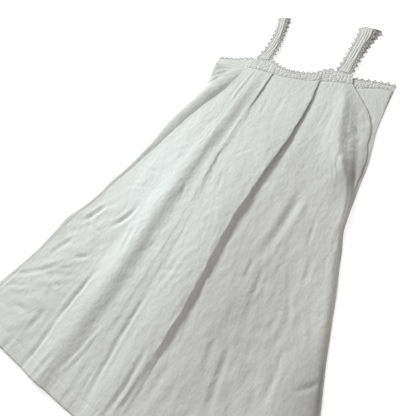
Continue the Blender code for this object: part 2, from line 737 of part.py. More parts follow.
def add_strap(side):
    """One strap and the two edgings along it."""
    travelled, width, place = strap_surface(STRAPS[side])
    fold = len(STRAPS[side]["front"]) - 1
    fold = (travelled[fold] - FOLD_MARGIN, travelled[fold + FOLD_STEPS] + FOLD_MARGIN)
    stops = strap_stops(travelled[-1], fold)
    cloth = STRAP_EDGING + EDGING_GAP
    shares = cloth / width(stops)
    across = np.linspace(0, 1, STRAP_RIBS + 1)
    share = shares[:, None] + (1 - 2 * shares)[:, None] * across
    along = np.broadcast_to(stops[:, None], share.shape)
    points, normals = place(along.ravel(), share.ravel())
    faces = grid_faces(*share.shape)
    half = BAND_WALL / 2
    shell(f"{side}_strap", points, normals, faces, half, half, CLOTH_COLOUR)
    inner_first = side == "right"
    runs = (
        eyelet_teeth(0, fold[0], STRAP_PITCH),
        wrapped_tooth(*fold),
        eyelet_teeth(fold[1], travelled[-1], STRAP_PITCH),
    )
    for first in (True, False):
        label = "inner" if first == inner_first else "outer"

        def place_lace(along, out, first=first):
            reach = (STRAP_EDGING - out) / width(along)
            return place(along, reach if first else 1 - reach)

        lace = add_lace(f"{side}_strap_{label}_edging", runs, place_lace)
        if not first:
            lace.data.flip_normals()


def clear_scene():
    """Removes everything that the startup scene holds."""
    for piece in list(bpy.data.objects):
        bpy.data.objects.remove(piece, do_unlink=True)


def main():
    """Builds every piece of the dress."""
    clear_scene()
    left_part, yoke_part, right_part = add_front()
    add_back()

    places, _, seam_z = top_line(yoke_part)

    def yoke_height(x, rows):
        return np.interp(x, places, seam_z) * rows + YOKE_TOP_Z * (1 - rows)

    def side_height(x, rows):
        tuck = np.clip((TUCK_START - np.abs(x)) / TUCK_REACH, 0, 1)
        return SIDE_SEAM_Z + SIDE_RISE + TUCK_RISE * tuck + 0 * rows

    def floor_height(x, rows):
        return BACK_HEIGHT + 0 * x * rows

    bands = {
        "front_band": (
            *(YOKE_LOWER_SPAN, YOKE_UPPER_SPAN, seam_above(yoke_part), NECK_EDGE),
            *(yoke_height, BAND_COLUMNS),
        ),
        "left_underarm_band": (
            *(LEFT_LOWER_SPAN, LEFT_UPPER_SPAN, seam_above(left_part), LEFT_UNDERARM),
            *(side_height, SIDE_COLUMNS),
        ),
        "right_underarm_band": (
            *(RIGHT_LOWER_SPAN, RIGHT_UPPER_SPAN, seam_above(right_part), RIGHT_UNDERARM),
            *(side_height, SIDE_COLUMNS),
        ),
        "back_band": (
            *(BACK_SPAN, BACK_SPAN, (back_seam, []), BACK_EDGE),
            *(floor_height, BACK_COLUMNS),
        ),
    }
    grids = {name: add_band(name, *sizes) for name, sizes in bands.items()}

    def neck_height(x, out):
        return YOKE_TOP_Z - NECK_DROOP * out

    def side_lace_height(x, out):
        return side_height(x, 0) - SIDE_DROOP * out

    def back_lace_height(x, out):
        return LACE_WALL / 2 + 0 * x

    edgings = {
        "front_neck_edging": ("front_band", *NECK_SPAN, neck_height),
        "left_underarm_edging": ("left_underarm_band", *LEFT_LACE_SPAN, side_lace_height),
        "right_underarm_edging": ("right_underarm_band", *RIGHT_LACE_SPAN, side_lace_height),
        "back_neck_edging": ("back_band", *BACK_NECK_SPAN, back_lace_height),
        "left_back_underarm_edging": (
            *("back_band", BACK_SPAN[0], -BACK_SIDE_START),
            back_lace_height,
        ),
        "right_back_underarm_edging": (
            *("back_band", BACK_SIDE_START, BACK_SPAN[1]),
            back_lace_height,
        ),
    }
    for name, (band, start, end, height) in edgings.items():
        length, place = along_edge(grids[band][0], start, end, height)
        add_lace(name, [eyelet_teeth(0, length, NECK_PITCH)], place)
    for side in STRAPS:
        add_strap(side)


main()
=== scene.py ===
"""A camisole dress of washed linen, laid flat with its front up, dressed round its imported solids.

The front is one pleated sheet on a flat back. A crocheted band crosses the top of each, two ribbed
straps fold over at the shoulder, and crocheted edgings trim the neck, underarms and straps. Every
cloth piece here has the form of the solid that it replaces, with its creases, crumple and sewing.

Metres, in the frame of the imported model. Tables are in millimetres, with Y measured from the top
edge of the front.
"""

from __future__ import annotations

import logging
from collections.abc import Callable
from dataclasses import dataclass, field
from enum import Enum

import bpy
import numpy as np
from mathutils import Euler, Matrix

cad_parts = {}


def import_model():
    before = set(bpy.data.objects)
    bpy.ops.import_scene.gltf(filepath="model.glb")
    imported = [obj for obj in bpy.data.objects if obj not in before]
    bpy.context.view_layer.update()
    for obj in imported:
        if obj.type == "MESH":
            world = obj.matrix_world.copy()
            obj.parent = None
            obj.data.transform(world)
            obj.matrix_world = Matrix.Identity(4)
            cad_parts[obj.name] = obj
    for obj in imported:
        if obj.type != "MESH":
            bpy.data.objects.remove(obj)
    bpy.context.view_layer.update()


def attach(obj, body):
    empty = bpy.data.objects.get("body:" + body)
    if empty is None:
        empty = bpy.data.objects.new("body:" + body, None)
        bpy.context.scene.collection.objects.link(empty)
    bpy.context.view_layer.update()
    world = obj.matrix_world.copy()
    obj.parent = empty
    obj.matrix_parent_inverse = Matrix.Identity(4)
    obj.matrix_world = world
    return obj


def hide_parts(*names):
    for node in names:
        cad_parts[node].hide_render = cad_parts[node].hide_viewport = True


Array = np.ndarray
Colour = tuple[float, float, float]

log = logging.getLogger("dress")

MM = 0.001
BODY = "root"

# Height of the front's top edge above the middle of the dress, where the frame has its origin
TOP_EDGE_Y = 368.5 * MM

# Cloth as it is seen: thinner than its solids, on the same middle surface
LINEN_HALF = 0.38 * MM
BAND_HALF = 0.6 * MM
SEAM_GAP = 0.3 * MM
EDGING_GAP = 0.4 * MM
BACK_TOP = 1.2 * MM
SIDE_SEAM_Z = 2.1 * MM
FLOOR_CLEARANCE = 0.02 * MM


class Seam(Enum):
    """The seam at the top from which a stretch of the front hangs."""

    UNDERARM = 1.0
    YOKE = 0.0


class Facing(Enum):
    """The way in which a pleat's folded edge faces."""

    LEFT = -1
    RIGHT = 1


class Slot(Enum):
    """The record's material slots."""

    LINEN = "linen"
    BAND = "crochet_band"
    EDGING = "crochet_edging"


# Curves and grids


def smooth(knots: Array, values: Array, at: Array) -> Array:
    """A smooth curve through values at rising knots: cubic pieces that share their slopes.

    Args:
        knots: Rising places of the values.
        values: One value or one row of values for each knot.
        at: Places to read.

    Returns:
        The values at those places.
    """
    knots = np.asarray(knots, float)
    values = np.asarray(values, float)
    at = np.asarray(at, float)
    slopes = np.gradient(values, knots, axis=0)
    i = np.clip(np.searchsorted(knots, at, side="right") - 1, 0, len(knots) - 2)
    shape = at.shape + (1,) * (values.ndim - 1)
    span = (knots[i + 1] - knots[i]).reshape(shape)
    t = np.clip((at - knots[i]) / (knots[i + 1] - knots[i]), 0, 1).reshape(shape)
    rise = t * t * (3 - 2 * t)
    lead = t * (1 - t) ** 2 * slopes[i] - t * t * (1 - t) * slopes[i + 1]
    return values[i] * (1 - rise) + values[i + 1] * rise + span * lead


def curve(table: tuple, x: Array) -> Array:
    """The y at x, in metres, of the smooth curve through rows of x and y in millimetres."""
    rows = np.asarray(table, float) * MM
    return smooth(rows[:, 0], rows[:, 1], np.clip(x, rows[0, 0], rows[-1, 0]))


def step(value: Array, start: float, end: float) -> Array:
    """A soft step: 0 up to start, 1 from end, and an S curve between."""
    t = np.clip((value - start) / (end - start), 0, 1)
    return t * t * (3 - 2 * t)


def unit(vectors: Array) -> Array:
    """The vectors at length one."""
    return vectors / np.maximum(np.linalg.norm(vectors, axis=-1, keepdims=True), 1e-12)


def bisectors(points: Array, axis: int) -> Array:
    """The direction of travel along an axis of a grid, halfway between a point's two sides."""
    steps = unit(np.diff(points, axis=axis))
    first = np.take(steps, [0], axis=axis)
    last = np.take(steps, [-1], axis=axis)
    steps = np.concatenate([first, steps, last], axis=axis)
    count = points.shape[axis]
    before = np.take(steps, range(count), axis=axis)
    after = np.take(steps, range(1, count + 1), axis=axis)
    return unit(before + after)


def grid_faces(rows: int, columns: int, around: bool = False) -> Array:
    """Four-sided faces of a grid stored row by row, closed from last column to first if around."""
    index = np.arange(rows * columns).reshape(rows, columns)
    if around:
        index = np.concatenate([index, index[:, :1]], 1)
    cells = [index[:-1, :-1], index[:-1, 1:], index[1:, 1:], index[1:, :-1]]
    return np.stack(cells, -1).reshape(-1, 4)


def arc_lengths(points: Array, axis: int) -> Array:
    """Distance travelled along an axis of a grid of points, from its first line."""
    steps = np.linalg.norm(np.diff(points, axis=axis), axis=-1)
    start = np.zeros_like(np.take(steps, [0], axis=axis))
    return np.concatenate([start, np.cumsum(steps, axis=axis)], axis=axis)


def put_mesh(name: str, vertices: Array, faces: Array, cut: Array) -> bpy.types.Object:
    """Makes an object from arrays, smooth shaded, with its place on the flat cut as a UV map.

    Args:
        name: Name of the piece.
        vertices: Points, with Y from the top edge of the front.
        faces: Four corners of each face.
        cut: Place of each vertex on the flat cloth, in metres.

    Returns:
        The new object, at the origin.
    """
    vertices = vertices + np.array([0, TOP_EDGE_Y, 0])
    corners = faces.astype(np.int32).ravel()
    mesh = bpy.data.meshes.new(name)
    mesh.vertices.add(len(vertices))
    mesh.vertices.foreach_set("co", vertices.astype(np.float32).ravel())
    mesh.loops.add(len(corners))
    mesh.loops.foreach_set("vertex_index", corners)
    mesh.polygons.add(len(faces))
    mesh.polygons.foreach_set("loop_start", np.arange(0, len(corners), 4, dtype=np.int32))
    layer = mesh.uv_layers.new(name="cut")
    layer.data.foreach_set("uv", cut[corners].astype(np.float32).ravel())
    mesh.update(calc_edges=True)
    mesh.validate()
    mesh.shade_smooth()
    piece = bpy.data.objects.new(name, mesh)
    bpy.context.scene.collection.objects.link(piece)
    return piece


def cloth_shell(
    name: str, points: Array, above: Array | float, below: Array | float
) -> bpy.types.Object:
    """A closed thin shell: a grid moved out along its normals on both sides, joined at its rim.

    Args:
        name: Name of the piece.
        points: Grid of points, rows running down the dress and columns to the right.
        above: Distance from the grid to the outer face.
        below: Distance from the grid to the inner face.

    Returns:
        The new piece.
    """
    rows, columns = points.shape[:2]
    down = bisectors(points, 0)
    normals = unit(np.cross(down, bisectors(points, 1))).reshape(-1, 3)
    flat = points.reshape(-1, 3)
    above = np.broadcast_to(above, (rows, columns)).reshape(-1, 1)
    below = np.broadcast_to(below, (rows, columns)).reshape(-1, 1)
    vertices = np.concatenate([flat + normals * above, flat - normals * below])
    vertices[:, 2] = np.maximum(vertices[:, 2], FLOOR_CLEARANCE)
    faces = grid_faces(rows, columns)[:, ::-1]
    index = np.arange(rows * columns).reshape(rows, columns)
    rim = np.concatenate([index[0, :-1], index[:-1, -1], index[-1, :0:-1], index[:0:-1, 0]])
    after = np.roll(rim, -1)
    count = rows * columns
    sides = np.stack([rim, after, after + count, rim + count], -1)
    across = arc_lengths(points, 1)
    across -= across[:, -1:] / 2
    cut = np.stack([across, points[..., 1]], -1).reshape(-1, 2)
    all_faces = np.concatenate([faces, faces[:, ::-1] + count, sides])
    piece = put_mesh(name, vertices, all_faces, np.concatenate([cut, cut]))
    soft = np.arange(len(piece.data.polygons)) < 2 * len(faces)
    piece.data.polygons.foreach_set("use_smooth", soft)
    return piece


def oval(points: int, wide: float, high: float) -> Array:
    """An oval profile, anticlockwise, as rows of distance to the side and up."""
    angle = np.linspace(0, 2 * np.pi, points, endpoint=False)
    return np.stack([wide * np.cos(angle), high * np.sin(angle)], -1)


TIP_SIZE = 1e-3


def capped_tubes(rings: Array) -> tuple[Array, Array]:
    """Joins rings into closed tubes whose end rings are drawn together to a point.

    Args:
        rings: Points as tubes, rings, places round the ring, and x y z.

    Returns:
        All points, and the faces of all tubes.
    """
    tubes, count, around = rings.shape[:3]
    ends = rings.mean(axis=2, keepdims=True)
    rings = np.concatenate([rings[:, :1], rings, rings[:, -1:]], 1)
    for tip in (0, -1):
        rings[:, tip] = ends[:, tip] + (rings[:, tip] - ends[:, tip]) * TIP_SIZE
    one = grid_faces(count + 2, around, around=True)
    offsets = np.arange(tubes)[:, None, None] * (count + 2) * around
    return rings.reshape(-1, 3), (one[None] + offsets).reshape(-1, 4)


NOISE_LATTICE = 64
NOISE_GAIN = 1.5


def gradient_noise(x: Array, y: Array, seed: int) -> Array:
    """Smooth noise from about -1 to 1: random slopes on a square lattice, blended by S curves.

    Args:
        x: Places across, in lattice cells.
        y: Places down, in lattice cells.
        seed: Seed of the lattice.

    Returns:
        The noise at each place.
    """
    size = NOISE_LATTICE
    angles = np.random.default_rng(seed).uniform(0, 2 * np.pi, (size, size))
    slopes = np.stack([np.cos(angles), np.sin(angles)], -1)
    column = np.floor(x).astype(int)
    row = np.floor(y).astype(int)
    u, v = x - column, y - row
    total = np.zeros_like(x)
    for right in (0, 1):
        for above in (0, 1):
            slope = slopes[(row + above) % size, (column + right) % size]
            share = step(u if right else 1 - u, 0, 1) * step(v if above else 1 - v, 0, 1)
            total += share * (slope[..., 0] * (u - right) + slope[..., 1] * (v - above))
    return total * NOISE_GAIN


# Measurements of the front, in millimetres from its top edge and the middle of the dress

STATION_Y = (-30, -110, -200, -320, -460, -640, -900)


@dataclass(frozen=True)
class SoftLine:
    """One lengthwise line of the front, with its place and height at every station."""

    seam: Seam
    x: tuple[float, ...]
    z: tuple[float, ...]


@dataclass(frozen=True)
class Pleat:
    """One pleat, with its sizes at every station. A negative lap is an opened fold."""

    facing: Facing
    seam: Seam
    edge: tuple[float, ...]
    top: tuple[float, ...]
    low: tuple[float, ...]
    lap: tuple[float, ...]
    roll: tuple[float, ...]


UNDERARM, YOKE = Seam.UNDERARM, Seam.YOKE

# The front's lines in order from the left side seam to the right one
FRONT_LINES: dict[str, SoftLine | Pleat] = {
    "left_seam": SoftLine(
        UNDERARM,
        x=(-232, -223, -238, -254, -280, -331, -399),
        z=(2.1, 2.1, 2.1, 2.1, 2.1, 2.1, 4.1),
    ),
    "left_roll": SoftLine(
        UNDERARM,
        x=(-206, -210, -229, -247, -275, -327, -394),
        z=(3.2, 8.0, 9.6, 8.0, 5.6, 4.6, 4.5),
    ),
    "left_crest": SoftLine(
        UNDERARM,
        x=(-152, -187, -215, -240, -270, -321, -386),
        z=(4.2, 16.0, 15.6, 11.6, 7.2, 5.0, 4.8),
    ),
    "left_valley": SoftLine(
        UNDERARM,
        x=(-142, -163, -194, -227, -263, -316.5, -382.5),
        z=(4.4, 13.4, 12.2, 8.8, 5.4, 4.3, 4.7),
    ),
    "left_outer_pleat": Pleat(
        Facing.LEFT,
        UNDERARM,
        edge=(-134, -142, -177, -214, -256, -311, -373),
        top=(6.0, 13.6, 15.0, 14.0, 11.0, 7.6, 6.0),
        low=(2.9, 3.2, 3.4, 3.4, 3.4, 3.6, 4.6),
        lap=(14, 5, 4, 3, 2, -1, -6),
        roll=(0.76, 1.5, 2.0, 2.0, 1.5, 0.9, 1.5),
    ),
    "left_middle": SoftLine(
        YOKE,
        x=(-110, -118, -138, -168, -196, -222, -262),
        z=(6.2, 14.6, 17.4, 17.0, 15.0, 13.0, 9.0),
    ),
    "left_trough": SoftLine(
        YOKE,
        x=(-101, -104, -114, -134, -152, -163, -181),
        z=(6.3, 14.7, 17.8, 17.6, 15.6, 11.0, 6.6),
    ),
    "left_ridge": SoftLine(
        YOKE,
        x=(-90, -89, -91, -101, -106, -104, -119),
        z=(6.5, 15.4, 19.0, 19.8, 20.0, 18.0, 12.0),
    ),
    "left_foot": SoftLine(
        YOKE,
        x=(-70, -66, -68, -78, -82, -80, -96),
        z=(6.2, 11.2, 11.8, 11.8, 11.0, 9.4, 6.4),
    ),
    "left_inner_pleat": Pleat(
        Facing.RIGHT,
        YOKE,
        edge=(-55, -54, -57, -58, -51, -50, -59),
        top=(6.6, 11.8, 12.2, 12.8, 10.8, 9.4, 6.6),
        low=(3.4, 8.6, 10.4, 9.8, 9.6, 8.2, 5.8),
        lap=(16, 4, -10, -4, -16, -19, -22),
        roll=(0.78, 0.72, 0.7, 0.7, 1.5, 2.0, 3.0),
    ),
    "centre_left": SoftLine(
        YOKE,
        x=(-30, -27, -26, -24, -14, -14, -20),
        z=(5.4, 10.4, 12.0, 12.4, 11.6, 9.6, 5.8),
    ),
    "centre_right": SoftLine(
        YOKE,
        x=(18, 26, 26, 20, 18, 22, 4),
        z=(6.2, 12.8, 15.4, 16.2, 15.8, 14.0, 8.8),
    ),
    "right_inner_pleat": Pleat(
        Facing.RIGHT,
        YOKE,
        edge=(68, 77, 78, 67, 58, 64, 46),
        top=(6.7, 14.0, 17.0, 18.0, 16.6, 14.8, 7.0),
        low=(3.5, 8.0, 9.6, 8.2, 6.4, 6.2, 5.4),
        lap=(18, 11, 6, 3, -5, -6, -14),
        roll=(0.78, 1.0, 1.2, 1.4, 1.8, 2.0, 2.2),
    ),
    "right_middle": SoftLine(
        YOKE,
        x=(92, 99, 102, 97, 97, 103, 86),
        z=(5.2, 11.2, 12.8, 10.4, 8.2, 7.8, 5.6),
    ),
    "right_soft_ridge": SoftLine(
        YOKE,
        x=(106, 119, 128, 138, 130, 146, 176),
        z=(5.6, 11.8, 12.8, 10.6, 8.8, 8.0, 5.8),
    ),
    "right_soft_trough": SoftLine(
        YOKE,
        x=(118, 134, 145, 161, 155, 173, 205),
        z=(5.9, 13.2, 13.6, 11.2, 8.6, 7.8, 5.8),
    ),
    "right_shoulder": SoftLine(
        YOKE,
        x=(124, 146, 170, 232, 260, 306, 369),
        z=(6.1, 16.6, 18.6, 13.8, 9.2, 8.0, 6.5),
    ),
    "right_ridge": SoftLine(
        YOKE,
        x=(130, 156, 180, 243, 272, 318, 382),
        z=(6.2, 18.4, 20.0, 14.4, 9.2, 8.0, 6.6),
    ),
    "right_turn": SoftLine(
        YOKE,
        x=(137, 165, 194, 247.5, 276, 323, 389),
        z=(6.1, 14.2, 12.8, 9.0, 7.2, 6.2, 6.0),
    ),
    "right_outer_pleat": Pleat(
        Facing.RIGHT,
        UNDERARM,
        edge=(146, 211, 239, 251.5, 278.5, 325, 393.5),
        top=(6.0, 5.8, 4.8, 4.6, 4.0, 3.8, 5.4),
        low=(2.7, 2.8, 2.5, 2.3, 2.2, 2.2, 4.2),
        lap=(16, 12, 5, -3, -2, -2, -2),
        roll=(0.78, 0.8, 0.72, 0.7, 0.72, 0.9, 1.0),
    ),
    "right_flat": SoftLine(
        UNDERARM,
        x=(198, 224, 244, 255, 282, 328, 397.5),
        z=(2.6, 2.8, 2.6, 2.3, 2.2, 2.2, 4.1),
    ),
    "right_seam": SoftLine(
        UNDERARM,
        x=(234, 236, 247, 258, 284, 330, 400),
        z=(2.1, 2.1, 2.1, 2.1, 2.1, 2.1, 4.1),
    ),
}

# How far each side swells outwards (negative on the left) from its smooth line, down the dress
SIDE_SWELLS = (
    # y, left, right
    (0, 0, 2.5), (-60, 3, 2.5), (-110, 6, 2.5), (-150, 7, 0.5), (-200, 5.5, 2), (-240, -4, 4),
    (-280, -4.5, 2.5), (-320, 3.5, 1), (-360, 4.5, -2.5), (-400, 4, -5), (-440, 1, -1),
    (-470, -3, 0), (-510, 2, 2), (-560, -0.5, 1), (-600, -7.5, 0), (-640, 0, -1),
    (-700, 8, 0), (-760, 7, 0), (-820, 3, 0), (-900, 0, 0),
)  # fmt: skip
SWELL_REACH = 25 * MM

# Curves across the dress, as rows of x and y
YOKE_SEAM = (
    (-134, -31), (-120, -31), (-60, -37), (-35, -40), (8, -41.5), (50, -39), (80, -32),
    (100, -29), (146, -27),
)  # fmt: skip
SIDE_SEAM_LEFT = ((-232, -37), (-200, -35), (-150, -34), (-118, -34))
SIDE_SEAM_RIGHT = ((128, -36), (150, -35), (175, -31), (195, -25), (225, -22), (236, -24))
NECK_EDGE = (
    (-131, 3.5), (-110, 4), (-92, 4.2), (-84, 3.4), (-70, -3), (-50, -13), (-25, -19), (0, -21),
    (25, -19), (50, -12), (62, -3), (74, 4), (84, 7.4), (96, 7), (114, 5), (134, 3.4),
)  # fmt: skip
LEFT_UNDERARM = ((-231, -16), (-200, -12), (-180, -9), (-150, -1), (-118, 4))
RIGHT_UNDERARM = ((126, -7), (145, -9), (190, -8), (215, -7.6), (236, -12))
BACK_SEAM = ((-230, -37), (-180, -38), (-110, -42), (0, -50), (110, -42), (180, -36), (236, -26))
BACK_EDGE = (
    (-230, -18), (-190, -16), (-135, -8), (-110, -4), (-84, -6), (-60, -20), (0, -32),
    (60, -20), (84, -6), (110, -4), (135, -10), (190, -13), (236, -16),
)  # fmt: skip

# The lower edge: its lowest place and how much it rises at the side seams
HEM_Y = -913 * MM
HEM_RISE = 30 * MM
HEM_CURVE = 1.5
HEM_HALF_WIDTH = 0.4
HEM_DEPTH = 30 * MM


def hem_line(x: Array) -> Array:
    """The y of the lower edge at x: lowest in the middle, rising towards both sides."""
    return HEM_Y + HEM_RISE * np.minimum(np.abs(x) / HEM_HALF_WIDTH, 1) ** HEM_CURVE


def side_seam(x: Array) -> Array:
    """The y of the underarm seam at x, on either side."""
    return np.where(x < 0, curve(SIDE_SEAM_LEFT, x), curve(SIDE_SEAM_RIGHT, x))


def swollen(x: Array, stations: Array) -> Array:
    """The places x of a grid's columns, swelled near both sides of the dress."""
    rows = np.array(SIDE_SWELLS[::-1], float)
    swell = smooth(rows[:, 0], rows[:, 1:], stations) * MM
    left = swell[:, :1] * np.exp(-(x - x[:, :1]) / SWELL_REACH)
    right = swell[:, 1:] * np.exp(-(x[:, -1:] - x) / SWELL_REACH)
    return x + left + right


# Creases and crumple of the cloth

CREASE_STRENGTH = 1.3

# A crease's lips: their height beside its depth, and how far out they stand beside its width
LIP_HEIGHT = 0.42
LIP_PLACE = 1.25
GROOVE_SHARPNESS = 2
LIP_SHARPNESS = 3
END_FADE = (-0.12, 0.3)

# A crumple's fine ridges: their size, limit of fineness, level and share of the height
RIDGE_SIZE = 7.5
FINEST_RIDGES = 2.1
RIDGE_LEVEL = 0.36
RIDGE_SHARE = 0.75
FINE_SHIFT = 7.3
FINE_LENGTH = 1.9

# How its creases bend: by this much, over cells this much larger, with a seed of their own
CRUMPLE_WARP = 0.7
WARP_CELL = (0.6, 0.4)
WARP_SEED = 50


@dataclass(frozen=True)
class Crease:
    """One crease between two places: a trough, or a ridge where its depth is negative."""

    start: tuple[float, float]
    end: tuple[float, float]
    width: float
    depth: float
    bow: float = 0

    def relief(self, x: Array, y: Array) -> Array:
        """Height that the crease adds: a rounded groove with a raised lip on either side,
        fading at both ends, bent to one side by its bow.

        Args:
            x: Places across, in millimetres.
            y: Places down, in millimetres.

        Returns:
            Heights in millimetres.
        """
        start = np.array(self.start, float)
        run = np.array(self.end, float) - start
        length = np.hypot(*run)
        way = run / length
        along = ((x - start[0]) * way[0] + (y - start[1]) * way[1]) / length
        off = (y - start[1]) * way[0] - (x - start[0]) * way[1]
        off = (off - self.bow * 4 * along * (1 - along)) / self.width
        lips = LIP_HEIGHT * np.exp(-((np.abs(off) - LIP_PLACE) ** 2) * LIP_SHARPNESS)
        groove = -np.exp(-(off**2) * GROOVE_SHARPNESS) + lips
        ends = step(along, *END_FADE) * step(1 - along, *END_FADE)
        return CREASE_STRENGTH * self.depth * groove * ends


CREASES = (
    # Left side of the skirt
    Crease((-238, -532), (-275, -594), 9, 2.2, 3),
    Crease((-160, -512), (-188, -572), 8, 2.2, 4),
    Crease((-250, -593), (-194, -601), 5, 1.2, 2),
    Crease((-259, -636), (-293, -691), 9, 2.0, -3),
    Crease((-195, -657), (-229, -673), 7, 1.6),
    Crease((-266, -718), (-217, -742), 7, 2.0, -4),
    Crease((-251, -700), (-345, -765), 8, 1.5, 5),
    Crease((-295, -775), (-340, -790), 6, 1.3),
    Crease((-249, -814), (-288, -814), 7, 1.8, 3),
    Crease((-208, -785), (-218, -849), 8, 1.5),
    Crease((-267, -562), (-237, -602), 7, 1.2),
    Crease((-315, -601), (-280, -641), 8, 1.3, -3),
    Crease((-215, -690), (-245, -708), 6, 1.1, 2),
    Crease((-300, -830), (-345, -812), 8, 1.2, 2),
    Crease((-150, -455), (-225, -470), 6, 0.8, -3),
    Crease((-156, -414), (-244, -406), 6, 0.7, 2),
    # The two long dashes beside the left ridge, and the crisp ridge that runs to the hem
    Crease((-156, -678), (-169, -800), 7, 3.0, -3),
    Crease((-171, -796), (-177, -905), 7, 2.8, 3),
    Crease((-70, -765), (-92, -870), 5, -2.4, 2),
    Crease((-139, -544), (-124, -623), 7, 0.9),
    Crease((-128, -850), (-136, -905), 7, 1.6),
    Crease((-236, -868), (-244, -905), 7, 1.8),
    # Middle
    Crease((-22, -663), (-15, -872), 7, 1.8, -4),
    Crease((40, -752), (34, -880), 7, 2.0, 3),
    Crease((-49, -360), (-38, -392), 4, 1.5, 3),
    Crease((-23, -352), (-8, -406), 6, 0.9),
    Crease((-88, -418), (-82, -440), 5, 1.5),
    Crease((17, -274), (-22, -308), 6, 0.8, -3),
    Crease((-26, -118), (-18, -180), 7, 0.9, 2),
    Crease((12, -92), (18, -210), 8, 0.8, -2),
    Crease((-108, -50), (-109, -165), 6, -0.9),
    Crease((-2, -560), (-8, -640), 8, 0.8),
    Crease((22, -590), (-30, -612), 7, 0.7, 2),
    # Right side of the skirt
    Crease((160, -338), (146, -505), 13, 2.6, 3),
    Crease((136, -512), (140, -556), 6, 1.6),
    Crease((162, -522), (167, -590), 6, 1.6, 2),
    Crease((174, -670), (193, -792), 8, 2.3, -3),
    Crease((144, -679), (150, -727), 8, 1.4),
    Crease((236, -474), (243, -518), 6, 1.2),
    Crease((254, -390), (264, -446), 5, 1.4, 2),
    Crease((336, -656), (302, -693), 6, 1.8),
    Crease((258, -650), (264, -738), 7, 1.4, 3),
    Crease((228, -547), (248, -595), 6, 1.3, -2),
    Crease((209, -392), (219, -449), 5, 1.0),
    Crease((53, -862), (58, -800), 6, 1.5),
    Crease((88, -832), (93, -748), 8, 1.0, 2),
    Crease((118, -822), (124, -758), 8, 1.1),
    Crease((212, -780), (228, -862), 8, 1.6, 3),
    Crease((262, -800), (276, -880), 8, 1.4, -2),
    Crease((318, -770), (300, -838), 7, 1.3),
    Crease((344, -846), (366, -812), 7, 1.2),
    # Down the slope from the right ridge to the side
    Crease((198, -144), (228, -236), 8, 2.6, 3),
    Crease((204, -110), (230, -190), 6, 1.8, -2),
    Crease((222, -214), (246, -296), 7, 2.8, 2),
    Crease((180, -96), (206, -172), 6, 1.8, 2),
    # Under the arms
    Crease((-222, -52), (-200, -96), 6, 1.6),
    Crease((-228, -58), (-168, -50), 6, 3.0, 3),
    Crease((-222, -84), (-176, -62), 7, 3.2, -3),
    Crease((-214, -120), (-180, -88), 7, 2.4, 2),
    Crease((214, -50), (226, -78), 5, 1.2),
    Crease((178, -62), (196, -104), 6, 0.9, 2),
)


@dataclass(frozen=True)
class Crumple:
    """A patch of small irregular creases, longer one way than the other."""

    centre: tuple[float, float]
    reach: tuple[float, float]
    across: float
    along: float
    turn: float
    height: float
    seed: int

    def relief(self, x: Array, y: Array) -> Array:
        """Height that the patch adds: noise stretched along its creases, folded into ridges at
        its zero lines, fading outwards as a bell curve.

        Args:
            x: Places across, in millimetres.
            y: Places down, in millimetres.

        Returns:
            Heights in millimetres.
        """
        turn = np.radians(self.turn)
        off = (x * np.cos(turn) + y * np.sin(turn)) / self.across
        way = (y * np.cos(turn) - x * np.sin(turn)) / self.along
        warp = gradient_noise(way * WARP_CELL[0], off * WARP_CELL[1], self.seed + WARP_SEED)
        soft = gradient_noise(off + warp * CRUMPLE_WARP, way, self.seed)
        octave = min(FINEST_RIDGES, self.across / RIDGE_SIZE)
        fine = gradient_noise(off * octave + FINE_SHIFT, way * FINE_LENGTH + warp, self.seed + 1)
        ridged = RIDGE_LEVEL - np.abs(fine)
        bell = ((x - self.centre[0]) / self.reach[0]) ** 2
        bell = np.exp(-bell - ((y - self.centre[1]) / self.reach[1]) ** 2)
        return self.height * bell * (soft + RIDGE_SHARE * ridged)


CRUMPLES = (
    # centre, reach, creases' width and length, turn, height, seed
    Crumple((-260, -730), (110, 150), 20, 46, -52, 1.9, 11),
    Crumple((-250, -560), (80, 70), 22, 44, -35, 1.1, 12),
    Crumple((215, -620), (90, 150), 15, 34, 8, 1.7, 13),
    Crumple((170, -560), (90, 110), 24, 70, 4, 1.2, 14),
    Crumple((260, -800), (150, 110), 22, 52, 12, 1.5, 15),
    Crumple((0, -800), (160, 130), 26, 90, 2, 1.0, 16),
    Crumple((-20, -170), (60, 130), 10, 60, 2, 0.7, 17),
    Crumple((0, -500), (420, 520), 34, 70, 20, 1.1, 18),
    Crumple((0, -500), (420, 520), 13, 24, -20, 0.6, 19),
    Crumple((130, -200), (60, 150), 9, 70, 4, 0.6, 20),
    Crumple((-80, -260), (50, 190), 9, 60, 0, 0.6, 21),
    Crumple((212, -200), (26, 90), 9, 22, 20, 3.4, 22),
    Crumple((-190, -90), (45, 60), 12, 40, 60, 3.2, 23),
    Crumple((66, -640), (26, 190), 9, 44, 4, 2.2, 24),
    Crumple((60, -330), (22, 150), 8, 36, 4, 1.0, 25),
)

# Small gathers that hang from the yoke seam, and the puckers along the hem's stitches
GATHER_PITCH = 9.0
GATHER_HEIGHT = 0.55
GATHER_REACH = 48.0
GATHER_SIDE = 150
GATHER_SEED = 31
PUCKER_PITCH = 11.0
PUCKER_HEIGHT = 0.55
PUCKER_REACH = 11.0
PUCKER_SEED = 37

# The groove along the hem's stitches
STITCH_DEPTH = 0.5
STITCH_WIDTH = 1.8

# Uneven waves: how far their phase wanders, and how their strength varies, over cells in mm
WAVE_DRIFT = 1.4
DRIFT_CELL = (43, 90)
STRENGTH_CELL = (27, 60)
STRENGTH_MEAN = 0.65
STRENGTH_SPREAD = 0.7
STRENGTH_LIMITS = (0.1, 1.2)

# Relief fades in over these distances from the seams, and with height off the floor
SEAM_FADE = 11 * MM
SIDE_FADE = 16 * MM
SIDE_START = -2 * MM
LOW_Z = 2.0 * MM
FULL_Z = 8.0 * MM
LOW_SHARE = 0.3


